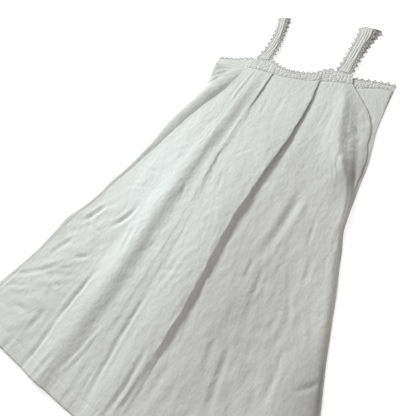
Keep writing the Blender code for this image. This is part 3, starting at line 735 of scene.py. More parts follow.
def ripples(x: Array, y: Array, pitch: float, seed: int) -> Array:
    """Uneven waves across the cloth from -1 to 1: a sine whose phase wanders with slow noise."""
    drift = gradient_noise(x / DRIFT_CELL[0], y / DRIFT_CELL[1], seed)
    phase = x / pitch + WAVE_DRIFT * drift
    strength = gradient_noise(x / STRENGTH_CELL[0], y / STRENGTH_CELL[1], seed + 1)
    strength = STRENGTH_MEAN + STRENGTH_SPREAD * strength
    return np.sin(2 * np.pi * phase) * np.clip(strength, *STRENGTH_LIMITS)


def cloth_relief(x: Array, y: Array) -> Array:
    """Height that creases, crumple, gathers and puckers add to the cloth at a plan place.

    Args:
        x: Places across, in metres.
        y: Distance down from the top edge as negative metres.

    Returns:
        Heights in metres. Layers over the same place move together, so none meet.
    """
    x, y = x / MM, y / MM
    total = sum(crease.relief(x, y) for crease in CREASES)
    total = total + sum(crumple.relief(x, y) for crumple in CRUMPLES)
    seam = curve(YOKE_SEAM, x * MM) / MM
    gathers = ripples(x, y, GATHER_PITCH, GATHER_SEED) * np.exp(-(seam - y) / GATHER_REACH)
    total = total + GATHER_HEIGHT * gathers * (np.abs(x) < GATHER_SIDE)
    stitched = hem_line(x * MM) / MM + HEM_DEPTH / MM
    away = (y - stitched) / PUCKER_REACH
    puckers = ripples(x, y, PUCKER_PITCH, PUCKER_SEED)
    total = total + PUCKER_HEIGHT * puckers * np.exp(-(away**2))
    total = total - STITCH_DEPTH * np.exp(-(((y - stitched) / STITCH_WIDTH) ** 2))
    return total * MM


# Materials


class Graph:
    """A node tree that is filled from left to right."""

    def __init__(self, tree: bpy.types.NodeTree) -> None:
        """Starts on an existing tree."""
        self.tree = tree

    def add(self, kind: str, **settings: object) -> bpy.types.Node:
        """Adds a node and sets its properties.

        Args:
            kind: Blender's name of the node type.
            settings: Values of its properties; a name that starts with in_ is an input socket's
                value or the output socket to link to it, by number.

        Returns:
            The node.
        """
        node = self.tree.nodes.new(kind)
        for name, value in settings.items():
            if not name.startswith("in_"):
                setattr(node, name, value)
        for name, value in settings.items():
            if name.startswith("in_"):
                self.feed(node.inputs[int(name[3:])], value)
        return node

    def feed(self, socket: bpy.types.NodeSocket, value: object) -> None:
        """Links an output to an input socket, or sets the socket's own value."""
        if isinstance(value, bpy.types.NodeSocket):
            self.tree.links.new(value, socket)
        else:
            socket.default_value = value

    def math(self, operation: str, first: object, second: object = 0.0) -> bpy.types.NodeSocket:
        """The result of one calculation on two values or sockets."""
        node = self.add("ShaderNodeMath", operation=operation, in_0=first, in_1=second)
        return node.outputs[0]

    def blend(self, share: object, first: object, second: object) -> bpy.types.NodeSocket:
        """The mix of two colours, each four numbers or a socket."""
        node = self.add("ShaderNodeMix", data_type="RGBA", in_0=share, in_6=first, in_7=second)
        return node.outputs[2]

    def noise(self, vector: object, scale: float, detail: float, kind: str = "FBM") -> object:
        """A noise texture's value at a place."""
        node = self.add("ShaderNodeTexNoise", noise_type=kind)
        self.feed(node.inputs["Vector"], vector)
        node.inputs["Scale"].default_value = scale
        node.inputs["Detail"].default_value = detail
        return node.outputs["Fac"]

    def stretched(self, vector: object, scale: tuple[float, float, float]) -> object:
        """The place scaled by different amounts along its axes."""
        node = self.add("ShaderNodeMapping", vector_type="POINT", in_0=vector)
        node.inputs["Scale"].default_value = scale
        return node.outputs[0]


def new_group(name: str, inputs: dict[str, str], outputs: dict[str, str]) -> Graph:
    """An empty node group with its sockets.

    Args:
        name: Name of the group.
        inputs: Name and kind of each input socket.
        outputs: Name and kind of each output socket.

    Returns:
        The group's graph.
    """
    tree = bpy.data.node_groups.new(name, "ShaderNodeTree")
    for label, kind in inputs.items():
        tree.interface.new_socket(label, in_out="INPUT", socket_type=kind)
    for label, kind in outputs.items():
        tree.interface.new_socket(label, in_out="OUTPUT", socket_type=kind)
    return Graph(tree)


# Slubs as cycles a metre across and along their thread, and the weave's share of the height
SLUB_SCALE = (900, 45)
WEAVE_SHARE = 0.25

# Crinkle: how far each noise is drawn out down the cloth
BROAD_STRETCH = (1.0, 0.4, 1.0)
SOFT_STRETCH = (1.0, 0.6, 1.0)
SOFT_SCALE = 2.3

# Crochet cells: their disorder, hole and rim as shares of a cell (painted shade lies in the hole
# and, at RIM_SHARE, past the rim), and the loops over them
CELL_DISORDER = 0.55
HOLE_RADIUS = 0.2
RIM_RADIUS = 0.66
RIM_SHARE = 0.55
LOOPS = 6
LOOP_SHARE = 0.35
FUZZ_SCALE = 900.0
FUZZ_SHARE = 0.5

# Colour patches and worn spots on every cloth, in cycles a metre, and its gloss
MOTTLE_SCALE = 9.0
WORN_SCALE = 190.0
WORN_STRETCH = (1.0, 0.55, 1.0)
SHEEN_ROUGHNESS = 0.5
SPECULAR = 0.25


def weave_group() -> bpy.types.NodeTree:
    """Plain weave with slubs: threads that rise and dip as a product of two sines, and thicker
    stretches of thread as noise drawn out along each way of the cloth."""
    graph = new_group(
        "plain_weave",
        {"Place": "NodeSocketVector", "Threads": "NodeSocketFloat"},
        {"Height": "NodeSocketFloat", "Slubs": "NodeSocketFloat"},
    )
    source = graph.add("NodeGroupInput")
    place, threads = source.outputs[0], source.outputs[1]
    split = graph.add("ShaderNodeSeparateXYZ", in_0=place)
    turn = graph.math("MULTIPLY", threads, np.pi)
    warp = graph.math("SINE", graph.math("MULTIPLY", split.outputs[0], turn))
    weft = graph.math("SINE", graph.math("MULTIPLY", split.outputs[1], turn))
    weave = graph.math("MULTIPLY", warp, weft)
    lengthwise = graph.noise(graph.stretched(place, (*SLUB_SCALE, 1)), 1.0, 2.0)
    crosswise = graph.noise(graph.stretched(place, (*SLUB_SCALE[::-1], 1)), 1.0, 2.0)
    slubs = graph.math("ADD", lengthwise, crosswise)
    height = graph.math("ADD", graph.math("MULTIPLY", weave, WEAVE_SHARE), slubs)
    target = graph.add("NodeGroupOutput")
    graph.feed(target.inputs[0], height)
    graph.feed(target.inputs[1], slubs)
    return graph.tree


def crinkle_group() -> bpy.types.NodeTree:
    """Fine creases left by washing: ridged noise at two sizes, broken up by soft noise."""
    graph = new_group(
        "washed_crinkle",
        {"Place": "NodeSocketVector", "Size": "NodeSocketFloat"},
        {"Height": "NodeSocketFloat"},
    )
    source = graph.add("NodeGroupInput")
    scaled = graph.add("ShaderNodeVectorMath", operation="SCALE", in_0=source.outputs[0])
    graph.feed(scaled.inputs["Scale"], source.outputs[1])
    place = scaled.outputs[0]
    drawn_out = graph.stretched(place, BROAD_STRETCH)
    broad = graph.noise(drawn_out, 1.0, 3.0, "RIDGED_MULTIFRACTAL")
    soft = graph.noise(graph.stretched(place, SOFT_STRETCH), SOFT_SCALE, 5.0)
    height = graph.math("ADD", graph.math("MULTIPLY", broad, 0.5), soft)
    target = graph.add("NodeGroupOutput")
    graph.feed(target.inputs[0], height)
    return graph.tree


def stitch_group() -> bpy.types.NodeTree:
    """Crochet in uneven rosettes: cells of a wandering lattice, each a raised ring of stitches
    round a hole, with a fine sine of stitches over them, and a mask of painted shade in the holes
    and between the cells."""
    graph = new_group(
        "crochet_stitches",
        {"Place": "NodeSocketVector", "Stitches": "NodeSocketFloat"},
        {"Height": "NodeSocketFloat", "Painted gap shade": "NodeSocketFloat"},
    )
    source = graph.add("NodeGroupInput")
    place, stitches = source.outputs[0], source.outputs[1]
    cells = graph.add("ShaderNodeTexVoronoi", feature="F1", voronoi_dimensions="2D")
    graph.feed(cells.inputs["Vector"], place)
    graph.feed(cells.inputs["Scale"], stitches)
    cells.inputs["Randomness"].default_value = CELL_DISORDER
    away = cells.outputs["Distance"]
    ring = graph.math("SINE", graph.math("MULTIPLY", away, 2 * np.pi))
    split = graph.add("ShaderNodeSeparateXYZ", in_0=place)
    turn = graph.math("MULTIPLY", stitches, LOOPS * np.pi)
    along = graph.math("SINE", graph.math("MULTIPLY", split.outputs[0], turn))
    down = graph.math("SINE", graph.math("MULTIPLY", split.outputs[1], turn))
    loops = graph.math("MULTIPLY", graph.math("MULTIPLY", along, down), LOOP_SHARE)
    fuzz = graph.math("MULTIPLY", graph.noise(place, FUZZ_SCALE, 3.0), FUZZ_SHARE)
    height = graph.math("ADD", graph.math("ADD", ring, loops), fuzz)
    # Painted shade: the mask that darkens each hole and the rim between cells
    hole = graph.math("LESS_THAN", away, HOLE_RADIUS)
    rim = graph.math("GREATER_THAN", away, RIM_RADIUS)
    painted_gap_shade = graph.math("ADD", hole, graph.math("MULTIPLY", rim, RIM_SHARE))
    target = graph.add("NodeGroupOutput")
    graph.feed(target.inputs[0], height)
    graph.feed(target.inputs[1], painted_gap_shade)
    return graph.tree


@dataclass(frozen=True)
class PaintedLightPatch:
    """A soft round patch of painted light and shade: a colour, lighter where light falls and darker
    where shade falls, by its middle and reach in the frame.
    """

    place: tuple[float, float, float]
    reach: tuple[float, float, float]
    colour: Colour

    def over(self, graph: Graph, colour: bpy.types.NodeSocket) -> bpy.types.NodeSocket:
        """The colour so far, mixed towards the patch's painted light and shade in its middle."""
        place = graph.add("ShaderNodeTexCoord").outputs["Object"]
        local = graph.add("ShaderNodeMapping", vector_type="TEXTURE", in_0=place)
        local.inputs["Location"].default_value = self.place
        local.inputs["Scale"].default_value = self.reach
        ball = graph.add("ShaderNodeTexGradient", gradient_type="SPHERICAL")
        graph.feed(ball.inputs[0], local.outputs[0])
        return graph.blend(ball.outputs[1], colour, (*self.colour, 1))


@dataclass(frozen=True)
class ClothFinish:
    """Undyed cloth that reads its pattern from the piece's flat cut.

    The two colours are mixed by large soft patches of noise, and round patches of painted light and
    shade may lie over them; the bump adds thread and crinkle heights in metres.
    """

    name: str
    light: Colour
    shade: Colour
    roughness: float
    sheen: float
    thread: str
    pitch: float
    thread_depth: float
    slub_tone_and_gap_shade: float
    crinkle_size: float
    crinkle_depth: float
    mottle: float
    # Round patches of painted light and painted shade over the cloth's colour
    patches: tuple[PaintedLightPatch, ...] = ()

    def build(self, groups: dict[str, bpy.types.NodeTree]) -> bpy.types.Material:
        """Makes the material.

        Args:
            groups: The shared node groups by name.

        Returns:
            The material.
        """
        material = bpy.data.materials.new(self.name)
        material.use_nodes = True
        graph = Graph(material.node_tree)
        shader = material.node_tree.nodes["Principled BSDF"]
        cut = graph.add("ShaderNodeUVMap", uv_map="cut").outputs[0]
        thread = graph.add("ShaderNodeGroup", node_tree=groups[self.thread])
        graph.feed(thread.inputs[0], cut)
        thread.inputs[1].default_value = 1 / self.pitch
        crinkle = graph.add("ShaderNodeGroup", node_tree=groups["washed_crinkle"])
        graph.feed(crinkle.inputs[0], cut)
        crinkle.inputs[1].default_value = 1 / self.crinkle_size
        patches = graph.noise(cut, MOTTLE_SCALE, 3.0)
        patches = graph.math("SUBTRACT", patches, 0.5 * self.mottle)
        worn = graph.noise(graph.stretched(cut, WORN_STRETCH), WORN_SCALE, 3.0)
        worn = graph.math("MULTIPLY", worn, self.mottle)
        # The thread's second output darkens the colour: the slubs' own tone in the weave, painted
        # shade in the crochet's holes and gaps
        tint = graph.math("MULTIPLY", thread.outputs[1], self.slub_tone_and_gap_shade)
        tint = graph.math("ADD", graph.math("ADD", patches, worn), tint)
        colour = graph.blend(tint, (*self.light, 1), (*self.shade, 1))
        # Painted light and painted shade, laid over the cloth's colour in round patches
        for patch in self.patches:
            colour = patch.over(graph, colour)
        graph.feed(shader.inputs["Base Color"], colour)
        fold = graph.math("MULTIPLY", crinkle.outputs[0], self.crinkle_depth)
        height = graph.math("MULTIPLY", thread.outputs[0], self.thread_depth)
        bump = graph.add("ShaderNodeBump")
        bump.inputs["Strength"].default_value = 1.0
        bump.inputs["Distance"].default_value = 1.0
        graph.feed(bump.inputs["Height"], graph.math("ADD", fold, height))
        graph.feed(shader.inputs["Normal"], bump.outputs[0])
        shader.inputs["Roughness"].default_value = self.roughness
        shader.inputs["Sheen Weight"].default_value = self.sheen
        shader.inputs["Sheen Roughness"].default_value = SHEEN_ROUGHNESS
        shader.inputs["Specular IOR Level"].default_value = SPECULAR
        return material


@dataclass(frozen=True)
class PlainFinish:
    """A plain finish with a faint grain, for thread and for the floor."""

    name: str
    light: Colour
    shade: Colour
    roughness: float
    grain: float
    glow: float = 0.0

    def build(self) -> bpy.types.Material:
        """Makes the material: two near colours mixed by fine noise on Object coordinates."""
        material = bpy.data.materials.new(self.name)
        material.use_nodes = True
        graph = Graph(material.node_tree)
        shader = material.node_tree.nodes["Principled BSDF"]
        place = graph.add("ShaderNodeTexCoord").outputs["Object"]
        grain = graph.noise(place, self.grain, 3)
        colour = graph.blend(grain, (*self.light, 1), (*self.shade, 1))
        graph.feed(shader.inputs["Base Color"], colour)
        shader.inputs["Roughness"].default_value = self.roughness
        shader.inputs["Emission Color"].default_value = (1, 1, 1, 1)
        shader.inputs["Emission Strength"].default_value = self.glow
        return material


LINEN = ClothFinish(
    name="washed_linen",
    light=(0.64, 0.65, 0.63),
    shade=(0.55, 0.55, 0.52),
    roughness=0.9,
    sheen=0.12,
    thread="plain_weave",
    pitch=0.9 * MM,
    thread_depth=0.1 * MM,
    slub_tone_and_gap_shade=0.12,
    crinkle_size=15 * MM,
    crinkle_depth=1.25 * MM,
    mottle=1.1,
    patches=(
        # Painted light on the lit left side of the skirt, and painted shade right of the main fold,
        # at the right corner of the hem and under both arms
        PaintedLightPatch((-0.15, -0.08, 0.0), (0.17, 0.4, 0.2), (0.7, 0.745, 0.725)),
        PaintedLightPatch((0.16, -0.25, 0.0), (0.14, 0.38, 0.2), (0.48, 0.475, 0.455)),
        PaintedLightPatch((0.34, -0.32, 0.0), (0.07, 0.16, 0.2), (0.36, 0.355, 0.34)),
        PaintedLightPatch((0.235, 0.10, 0.0), (0.035, 0.1, 0.2), (0.36, 0.355, 0.34)),
        PaintedLightPatch((-0.215, 0.315, 0.0), (0.045, 0.05, 0.2), (0.42, 0.42, 0.40)),
    ),
)
STRAP_LINEN = ClothFinish(
    name="strap_linen",
    light=(0.68, 0.685, 0.66),
    shade=(0.56, 0.56, 0.53),
    roughness=0.9,
    sheen=0.12,
    thread="plain_weave",
    pitch=0.9 * MM,
    thread_depth=0.08 * MM,
    slub_tone_and_gap_shade=0.12,
    crinkle_size=12 * MM,
    crinkle_depth=0.9 * MM,
    mottle=0.9,
)
BAND_CROCHET = ClothFinish(
    name="band_crochet",
    light=(0.74, 0.75, 0.725),
    shade=(0.55, 0.545, 0.52),
    roughness=0.92,
    sheen=0.15,
    thread="crochet_stitches",
    pitch=8.5 * MM,
    thread_depth=0.6 * MM,
    slub_tone_and_gap_shade=0.9,
    crinkle_size=14 * MM,
    crinkle_depth=0.6 * MM,
    mottle=0.4,
)
WORN_CROCHET = ClothFinish(
    name="worn_crochet",
    light=(0.69, 0.70, 0.675),
    shade=(0.60, 0.60, 0.57),
    roughness=0.92,
    sheen=0.15,
    thread="crochet_stitches",
    pitch=8.5 * MM,
    thread_depth=0.3 * MM,
    slub_tone_and_gap_shade=0.5,
    crinkle_size=18 * MM,
    crinkle_depth=0.9 * MM,
    mottle=0.8,
)
EDGING_CROCHET = ClothFinish(
    name="edging_crochet",
    light=(0.66, 0.66, 0.635),
    shade=(0.45, 0.445, 0.425),
    roughness=0.92,
    sheen=0.15,
    thread="crochet_stitches",
    pitch=5.0 * MM,
    thread_depth=0.5 * MM,
    slub_tone_and_gap_shade=0.5,
    crinkle_size=9 * MM,
    crinkle_depth=0.2 * MM,
    mottle=0.6,
)
THREAD = PlainFinish(
    name="sewing_thread",
    light=(0.66, 0.66, 0.63),
    shade=(0.56, 0.56, 0.53),
    roughness=0.8,
    grain=600.0,
)
FLOOR = PlainFinish(
    name="pale_floor",
    light=(0.93, 0.93, 0.93),
    shade=(0.925, 0.925, 0.925),
    roughness=0.9,
    grain=3.0,
    glow=0.45,
)


class Finishes:
    """All materials, each made once."""

    def __init__(self) -> None:
        """Builds the shared groups, then every material."""
        groups = {tree.name: tree for tree in (weave_group(), crinkle_group(), stitch_group())}
        cloths = (LINEN, STRAP_LINEN, BAND_CROCHET, WORN_CROCHET, EDGING_CROCHET)
        self.made = {cloth.name: cloth.build(groups) for cloth in cloths}
        self.made.update({plain.name: plain.build() for plain in (THREAD, FLOOR)})

    def dress(
        self, piece: bpy.types.Object, finish: ClothFinish | PlainFinish, slot: Slot | None
    ) -> bpy.types.Object:
        """Gives a piece its finish and, when it has a slot, its body.

        Args:
            piece: The piece.
            finish: Its finish.
            slot: The record's slot that the finish stands for, or None on the floor.

        Returns:
            The same piece.
        """
        piece.data.materials.append(self.made[finish.name])
        if slot is not None:
            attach(piece, BODY)
            piece.data.calc_loop_triangles()
            log.info("%s: %d triangles", piece.name, len(piece.data.loop_triangles))
        return piece


# Cloth of the body


# The least angle that a pleat's rolls turn through, so that an opened fold keeps a soft lip
LEAST_TURN = 0.25

# How far a folded edge wanders from its smooth line, over cells in mm, from this far down
WANDER = 1.8 * MM
WANDER_CELLS = (41, 15)
WANDER_SEEDS = (71, 72)
WANDER_START = (45, 90)

# Rows beside the hem's fold, in mm, and how far other rows stay away from it
HEM_ROWS = (3, 1.2, 0, -1.2, -3)
HEM_CLEAR = 4

# The turned hem: where it thickens the front, and by how much on its outer and inner face
HEM_TURN = (-871.5, -869)
HEM_OUTER = 0.25 * MM
HEM_INNER = 1.0 * MM

# A stretch of a section is divided by this percentile of its widths, or this share of the widest
USUAL_WIDTH = 70
WIDEST_SHARE = 0.55

# The least room between the front's inner face and the back
PANEL_ROOM = 0.25 * MM


@dataclass
class PleatedFront:
    """The front panel: smooth sections across the dress through soft lines and pleats, strung
    from the yoke and underarm seams to the hem."""

    rows: int = 200
    column_step: float = 4.3 * MM
    roll_points: int = 5
    points: Array = field(init=False)
    outer: Array = field(init=False)
    flat_grid: Array = field(init=False)

    def stations(self) -> Array:
        """Heights of the rows, closer together at the hem's stitch line."""
        fold = STATION_Y[-1] + HEM_DEPTH / MM
        rows = np.linspace(STATION_Y[0], STATION_Y[-1], self.rows)
        rows = np.append(rows[np.abs(rows - fold) > HEM_CLEAR], fold + np.array(HEM_ROWS))
        return np.sort(rows)[::-1]

    def fold(self, pleat: Pleat, sizes: dict[str, Array]) -> Array:
        """Points across one pleat in each row: over its upper roll, back under, and round its
        lower roll, where the two rolls are joined by the line that touches both from inside.

        Args:
            pleat: The pleat.
            sizes: Its sizes in every row, in metres.

        Returns:
            Points as rows, places across, and x z, left to right.
        """
        facing, roll = pleat.facing.value, sizes["roll"]
        upper = np.stack([facing * sizes["edge"] - roll, sizes["top"] - roll], -1)
        lower = np.stack([facing * sizes["edge"] - sizes["lap"] + roll, sizes["low"] + roll], -1)
        across = lower[:, 0] - upper[:, 0]
        down = upper[:, 1] - lower[:, 1]
        reach = np.clip(2 * roll / np.hypot(across, down), -1, 1)
        turn = np.maximum(np.arctan2(down, across) + np.arcsin(reach), LEAST_TURN)
        angle = turn[:, None] * np.linspace(0, 1, self.roll_points)
        radius = roll[:, None, None]
        over = upper[:, None] + radius * np.stack([np.sin(angle), np.cos(angle)], -1)
        angle = angle[:, ::-1]
        under = lower[:, None] - radius * np.stack([np.sin(angle), np.cos(angle)], -1)
        points = np.concatenate([over, under], 1)
        return points if facing > 0 else points[:, ::-1] * (-1, 1)

    def knots(self, stations: Array) -> tuple[Array, Array, Array]:
        """The points that each row's section runs through.

        Args:
            stations: Heights of the rows.

        Returns:
            The points, how far each belongs to the underarm seam, and where the section is level.
        """
        places = -np.array(STATION_Y, float)
        points, outer, level = [], [], []
        for seed, line in enumerate(FRONT_LINES.values()):
            if isinstance(line, SoftLine):
                table = np.stack([line.x, line.z], -1)
                points.append(smooth(places, table, -stations)[:, None] * MM)
                outer.append(line.seam.value)
                level.append(False)
                continue
            sizes = {
                key: smooth(places, np.array(getattr(line, key)), -stations) * MM
                for key in ("edge", "top", "low", "lap", "roll")
            }
            wander = np.zeros_like(stations)
            for share, cell, noise_seed in zip((1, 0.5), WANDER_CELLS, WANDER_SEEDS):
                noise = gradient_noise(stations / cell, stations * 0 + seed, noise_seed)
                wander += WANDER * share * noise
            sizes["edge"] = sizes["edge"] + wander * step(-stations, *WANDER_START)
            points.append(self.fold(line, sizes))
            under = [line.seam.value] * self.roll_points
            over = [Seam.YOKE.value] * self.roll_points
            outer += over + under if line.facing is Facing.RIGHT else under + over
            level += [True] + [False] * (2 * self.roll_points - 2) + [True]
        return np.concatenate(points, 1), np.array(outer), np.array(level)

    def sections(self, stations: Array) -> tuple[Array, Array]:
        """Each row's smooth curve through its knots, every stretch divided by its own width.

        Args:
            stations: Heights of the rows.

        Returns:
            Points as rows, columns, and x z, and how far each column belongs to the underarm.
        """
        points, outer, level = self.knots(stations)
        steps = np.diff(points, axis=1)
        lengths = np.maximum(np.linalg.norm(steps, axis=2, keepdims=True), 1e-9)
        slopes = steps / lengths
        weights = lengths[:, 1:] / (lengths[:, 1:] + lengths[:, :-1])
        inner = slopes[:, :-1] * weights + slopes[:, 1:] * (1 - weights)
        tangents = np.concatenate([slopes[:, :1], inner, slopes[:, -1:]], 1)
        tangents[:, level] = (1, 0)
        wide = np.percentile(lengths[..., 0], USUAL_WIDTH, axis=0)
        wide = np.maximum(wide, lengths[..., 0].max(axis=0) * WIDEST_SHARE)
        columns, sides = [points[:, 0]], [outer[0]]
        for k, count in enumerate(np.maximum(1, np.round(wide / self.column_step)).astype(int)):
            for t in np.arange(1, count + 1) / count:
                rise = t * t * (3 - 2 * t)
                lead = t * (1 - t) ** 2 * tangents[:, k] - t * t * (1 - t) * tangents[:, k + 1]
                ends = points[:, k] * (1 - rise) + points[:, k + 1] * rise
                columns.append(ends + lengths[:, k] * lead)
                sides.append(outer[k] * (1 - t) + outer[k + 1] * t)
        return np.stack(columns, 1), np.array(sides)

    def shape(self) -> None:
        """Works out the middle surface, first as its solid has it and then with its relief."""
        stations = self.stations()
        section, self.outer = self.sections(stations)
        x, z = swollen(section[..., 0], stations), section[..., 1]
        top = curve(YOKE_SEAM, x) * (1 - self.outer) + side_seam(x) * self.outer - SEAM_GAP
        share = (STATION_Y[0] - stations) / (STATION_Y[0] - STATION_Y[-1])
        y = top + share[:, None] * (hem_line(x) - top)
        self.flat_grid = np.stack([x, y, z], -1)
        fade = step(top - y, 0, SEAM_FADE)
        fade = fade * step(x - x[:, :1], SIDE_START, SIDE_FADE)
        fade = fade * step(x[:, -1:] - x, SIDE_START, SIDE_FADE)
        height = LOW_SHARE + (1 - LOW_SHARE) * np.clip((z - LOW_Z) / (FULL_Z - LOW_Z), 0, 1)
        lifted = z + cloth_relief(x, y) * fade * height
        lowest = BACK_TOP + LINEN_HALF + PANEL_ROOM
        self.points = np.stack([x, y, np.maximum(lifted, np.minimum(z, lowest))], -1)

    def hangs_from(self, part: str) -> Array:
        """The columns of the smooth surface that hang from one seam: left, yoke or right."""
        left = self.flat_grid[0, :, 0] < 0
        chosen = {
            "left": (self.outer == 1) & left,
            "yoke": self.outer == 0,
            "right": (self.outer == 1) & ~left,
        }
        return self.flat_grid[:, chosen[part]]

    def build(self, finishes: Finishes) -> None:
        """Builds the front, thicker at its turned hem, with its hem stitches, and works out the
        size of its cut.
        """
        self.shape()
        turned = 1 - step(self.stations(), *HEM_TURN)
        above = LINEN_HALF + HEM_OUTER * turned[:, None]
        below = LINEN_HALF + HEM_INNER * turned[:, None]
        piece = cloth_shell("front_cloth", self.points, above, below)
        finishes.dress(piece, LINEN, Slot.LINEN)
        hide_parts("front_panel")
        width, length, area = cut_size(self.flat_grid)
        sew_hem(self, finishes)


def cut_size(grid: Array) -> tuple[float, float, float]:
    """Size of the cloth that a grid was cut from.

    Args:
        grid: Middle surface, rows running down.

    Returns:
        Its greatest width, greatest length and area, all measured along the cloth.
    """
    across = arc_lengths(grid, 1)[:, -1]
    down = arc_lengths(grid, 0)[-1]
    one = np.cross(np.diff(grid, axis=0)[:, :-1], np.diff(grid, axis=1)[:-1])
    area = float(np.linalg.norm(one, axis=-1).sum())
    width, length = float(across.max()), float(down.max())
    return round(width, 3), round(length, 3), round(min(area, width * length), 4)


@dataclass
class FlatBack:
    """The back panel, flat on the floor, with its hem turned inwards."""

    rows: int = 120
    columns: int = 100
    hem_rows: tuple[float, float] = (0.9645, 0.9665)
    hem_from: float = 0.966

    def build(self, finishes: Finishes) -> None:
        """Builds the back from its side seams, its band's seam and the hem."""
        share = np.unique(np.append(np.linspace(0, 1, self.rows), self.hem_rows))
        stations = STATION_Y[0] + share * (STATION_Y[-1] - STATION_Y[0])
        places = -np.array(STATION_Y, float)
        left = smooth(places, np.array(FRONT_LINES["left_seam"].x), -stations) * MM
        right = smooth(places, np.array(FRONT_LINES["right_seam"].x), -stations) * MM
        across = np.linspace(0, 1, self.columns)
        x = swollen(left[:, None] + (right - left)[:, None] * across, stations)
        top = curve(BACK_SEAM, x) - SEAM_GAP
        y = top + share[:, None] * (hem_line(x) - top)
        grid = np.stack([x, y, np.full_like(x, BACK_TOP / 2)], -1)
        above = BACK_TOP / 2 + np.where(share > self.hem_from, HEM_INNER, 0)[:, None]
        piece = cloth_shell("back_cloth", grid, above, BACK_TOP / 2)
        finishes.dress(piece, LINEN, Slot.LINEN)
        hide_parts("back_panel")
        width, length, area = cut_size(grid)


# Crocheted bands


Height = Callable[[Array, Array], Array]


SEAM_SAMPLES = 300
SEAM_WINDOW = 15


def top_line(points: Array) -> tuple[Array, Array, Array]:
    """Along the top edge of part of the front: the seam that its uppermost layer makes.

    Args:
        points: Grid of that part.

    Returns:
        Places across, the y of the edge, and its height evened out across the pleats.
    """
    row = points[0]
    places = np.linspace(row[:, 0].min(), row[:, 0].max(), SEAM_SAMPLES)
    start, end = row[:-1], row[1:]
    run = end[:, 0] - start[:, 0]
    share = (places[:, None] - start[:, 0]) / np.where(np.abs(run) < 1e-9, 1e-9, run)
    inside = (share >= -1e-6) & (share <= 1 + 1e-6)
    y = np.where(inside, start[:, 1] + share * (end - start)[:, 1], -1).max(axis=1)
    z = np.where(inside, start[:, 2] + share * (end - start)[:, 2], 0).max(axis=1)
    window = np.hanning(SEAM_WINDOW)
    padded = np.pad(z, SEAM_WINDOW // 2, mode="edge")
    return places, y, np.convolve(padded, window / window.sum(), mode="valid")


YOKE_TOP_Z = 5.6 * MM
NECK_DROOP = 0.2
SIDE_DROOP = 0.05
BACK_HEIGHT = 0.7 * MM
BACK_LACE_HEIGHT = 0.6 * MM

# An underarm band's height above its seam, and how it rises where it is tucked under the yoke
SIDE_LIFT = 0.4 * MM
TUCK_LIFT = 0.2 * MM
TUCK_START = 145 * MM
TUCK_REACH = 25 * MM

# Crocheted rosettes beside the strap bases, as plan places in millimetres
ROSETTES = ((-96, -10), (-84, -14), (-98, -22), (-86, -26), (-108, -15), (100, -8), (112, -10))
ROSETTES += ((106, -19), (118, -20), (94, -19), (150, -18), (162, -17), (174, -16))
ROSETTE_RADIUS = 4.2 * MM
ROSETTE_WIDTH = 1.3 * MM
ROSETTE_HEIGHT = 0.6 * MM


def rosettes(x: Array, y: Array) -> Array:
    """Height of the rosettes at plan places: a raised ring round each of their middles."""
    total = np.zeros_like(y)
    for across, down in ROSETTES:
        away = np.hypot(x - across * MM, y - down * MM)
        total += np.exp(-(((away - ROSETTE_RADIUS) / ROSETTE_WIDTH) ** 2))
    return total * ROSETTE_HEIGHT


@dataclass
class CrochetBand:
    """A strip across the dress between its seam and its upper edge, with low ribs along it."""

    name: str
    node: str
    low: tuple[float, float]
    high: tuple[float, float]
    edge: tuple
    seam: Callable[[Array], Array]
    height: Height
    rests_on: str
    finish: ClothFinish = BAND_CROCHET
    rib_pitch: float = 6.4 * MM
    rib_height: float = 0.9 * MM
    rib_power: float = 0.6
    pinch_above: float = 2.2
    pinch_share: float = 1.2
    pinch_from: tuple[float, float] = (-100 * MM, -50 * MM)
    ripple_height: float = 0.3 * MM
    ripple_pitch: float = 6.0
    ripple_seed: int = 41
    ripple_fade: float = 0.4
    seam_taper: float = 3 * MM
    seam_share: float = 0.2
    rows: int = 36
    column_step: float = 1.25 * MM
    grid: Array = field(init=False)
    piece: bpy.types.Object = field(init=False)

    def build(self, finishes: Finishes) -> None:
        """Works out the band's middle surface and builds the band on it."""
        count = int(abs(self.low[1] - self.low[0]) * MM / self.column_step)
        share = np.linspace(0, 1, count)
        rows = np.linspace(0, 1, self.rows)[:, None]
        bottom_x = (self.low[0] + (self.low[1] - self.low[0]) * share) * MM
        top_x = (self.high[0] + (self.high[1] - self.high[0]) * share) * MM
        x = top_x + rows * (bottom_x - top_x)
        y_top = curve(self.edge, top_x)
        y = y_top + rows * (self.seam(bottom_x) - y_top)
        z = self.height(x, rows)
        self.grid = np.stack([x, y, z + 0 * x], -1)
        from_edge = y_top - y
        ribs = np.abs(np.sin(np.pi * from_edge / self.rib_pitch)) ** self.rib_power
        ribs = self.rib_height * ribs
        above_seam = (from_edge - from_edge[-1]) / MM + self.pinch_above
        pinch = self.rib_height * self.pinch_share * np.exp(-(above_seam**2))
        pinch = pinch * step(x, *self.pinch_from)
        ripple = ripples(x / MM, y / MM, self.ripple_pitch, self.ripple_seed)
        ripple = self.ripple_height * ripple * (1 - rows * self.ripple_fade)
        full = step(from_edge[-1] - from_edge, 0, self.seam_taper)
        full = self.seam_share + (1 - self.seam_share) * full
        stitched = (ribs - pinch + ripple + rosettes(x, y)) * (self.rib_height > 0)
        self.piece = cloth_shell(self.name, self.grid, (BAND_HALF + stitched) * full, BAND_HALF)
        finishes.dress(self.piece, self.finish, Slot.BAND)
        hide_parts(self.node)

    def declare(self, sewn_on: list[bpy.types.Object]) -> None:
        width, length, area = cut_size(self.grid)


# Crocheted edgings

Place = Callable[[Array, Array], tuple[Array, Array]]

EYELET_HEIGHT = 5.0 * MM
NECK_PITCH = 14 * MM
STRAP_PITCH = 17 * MM


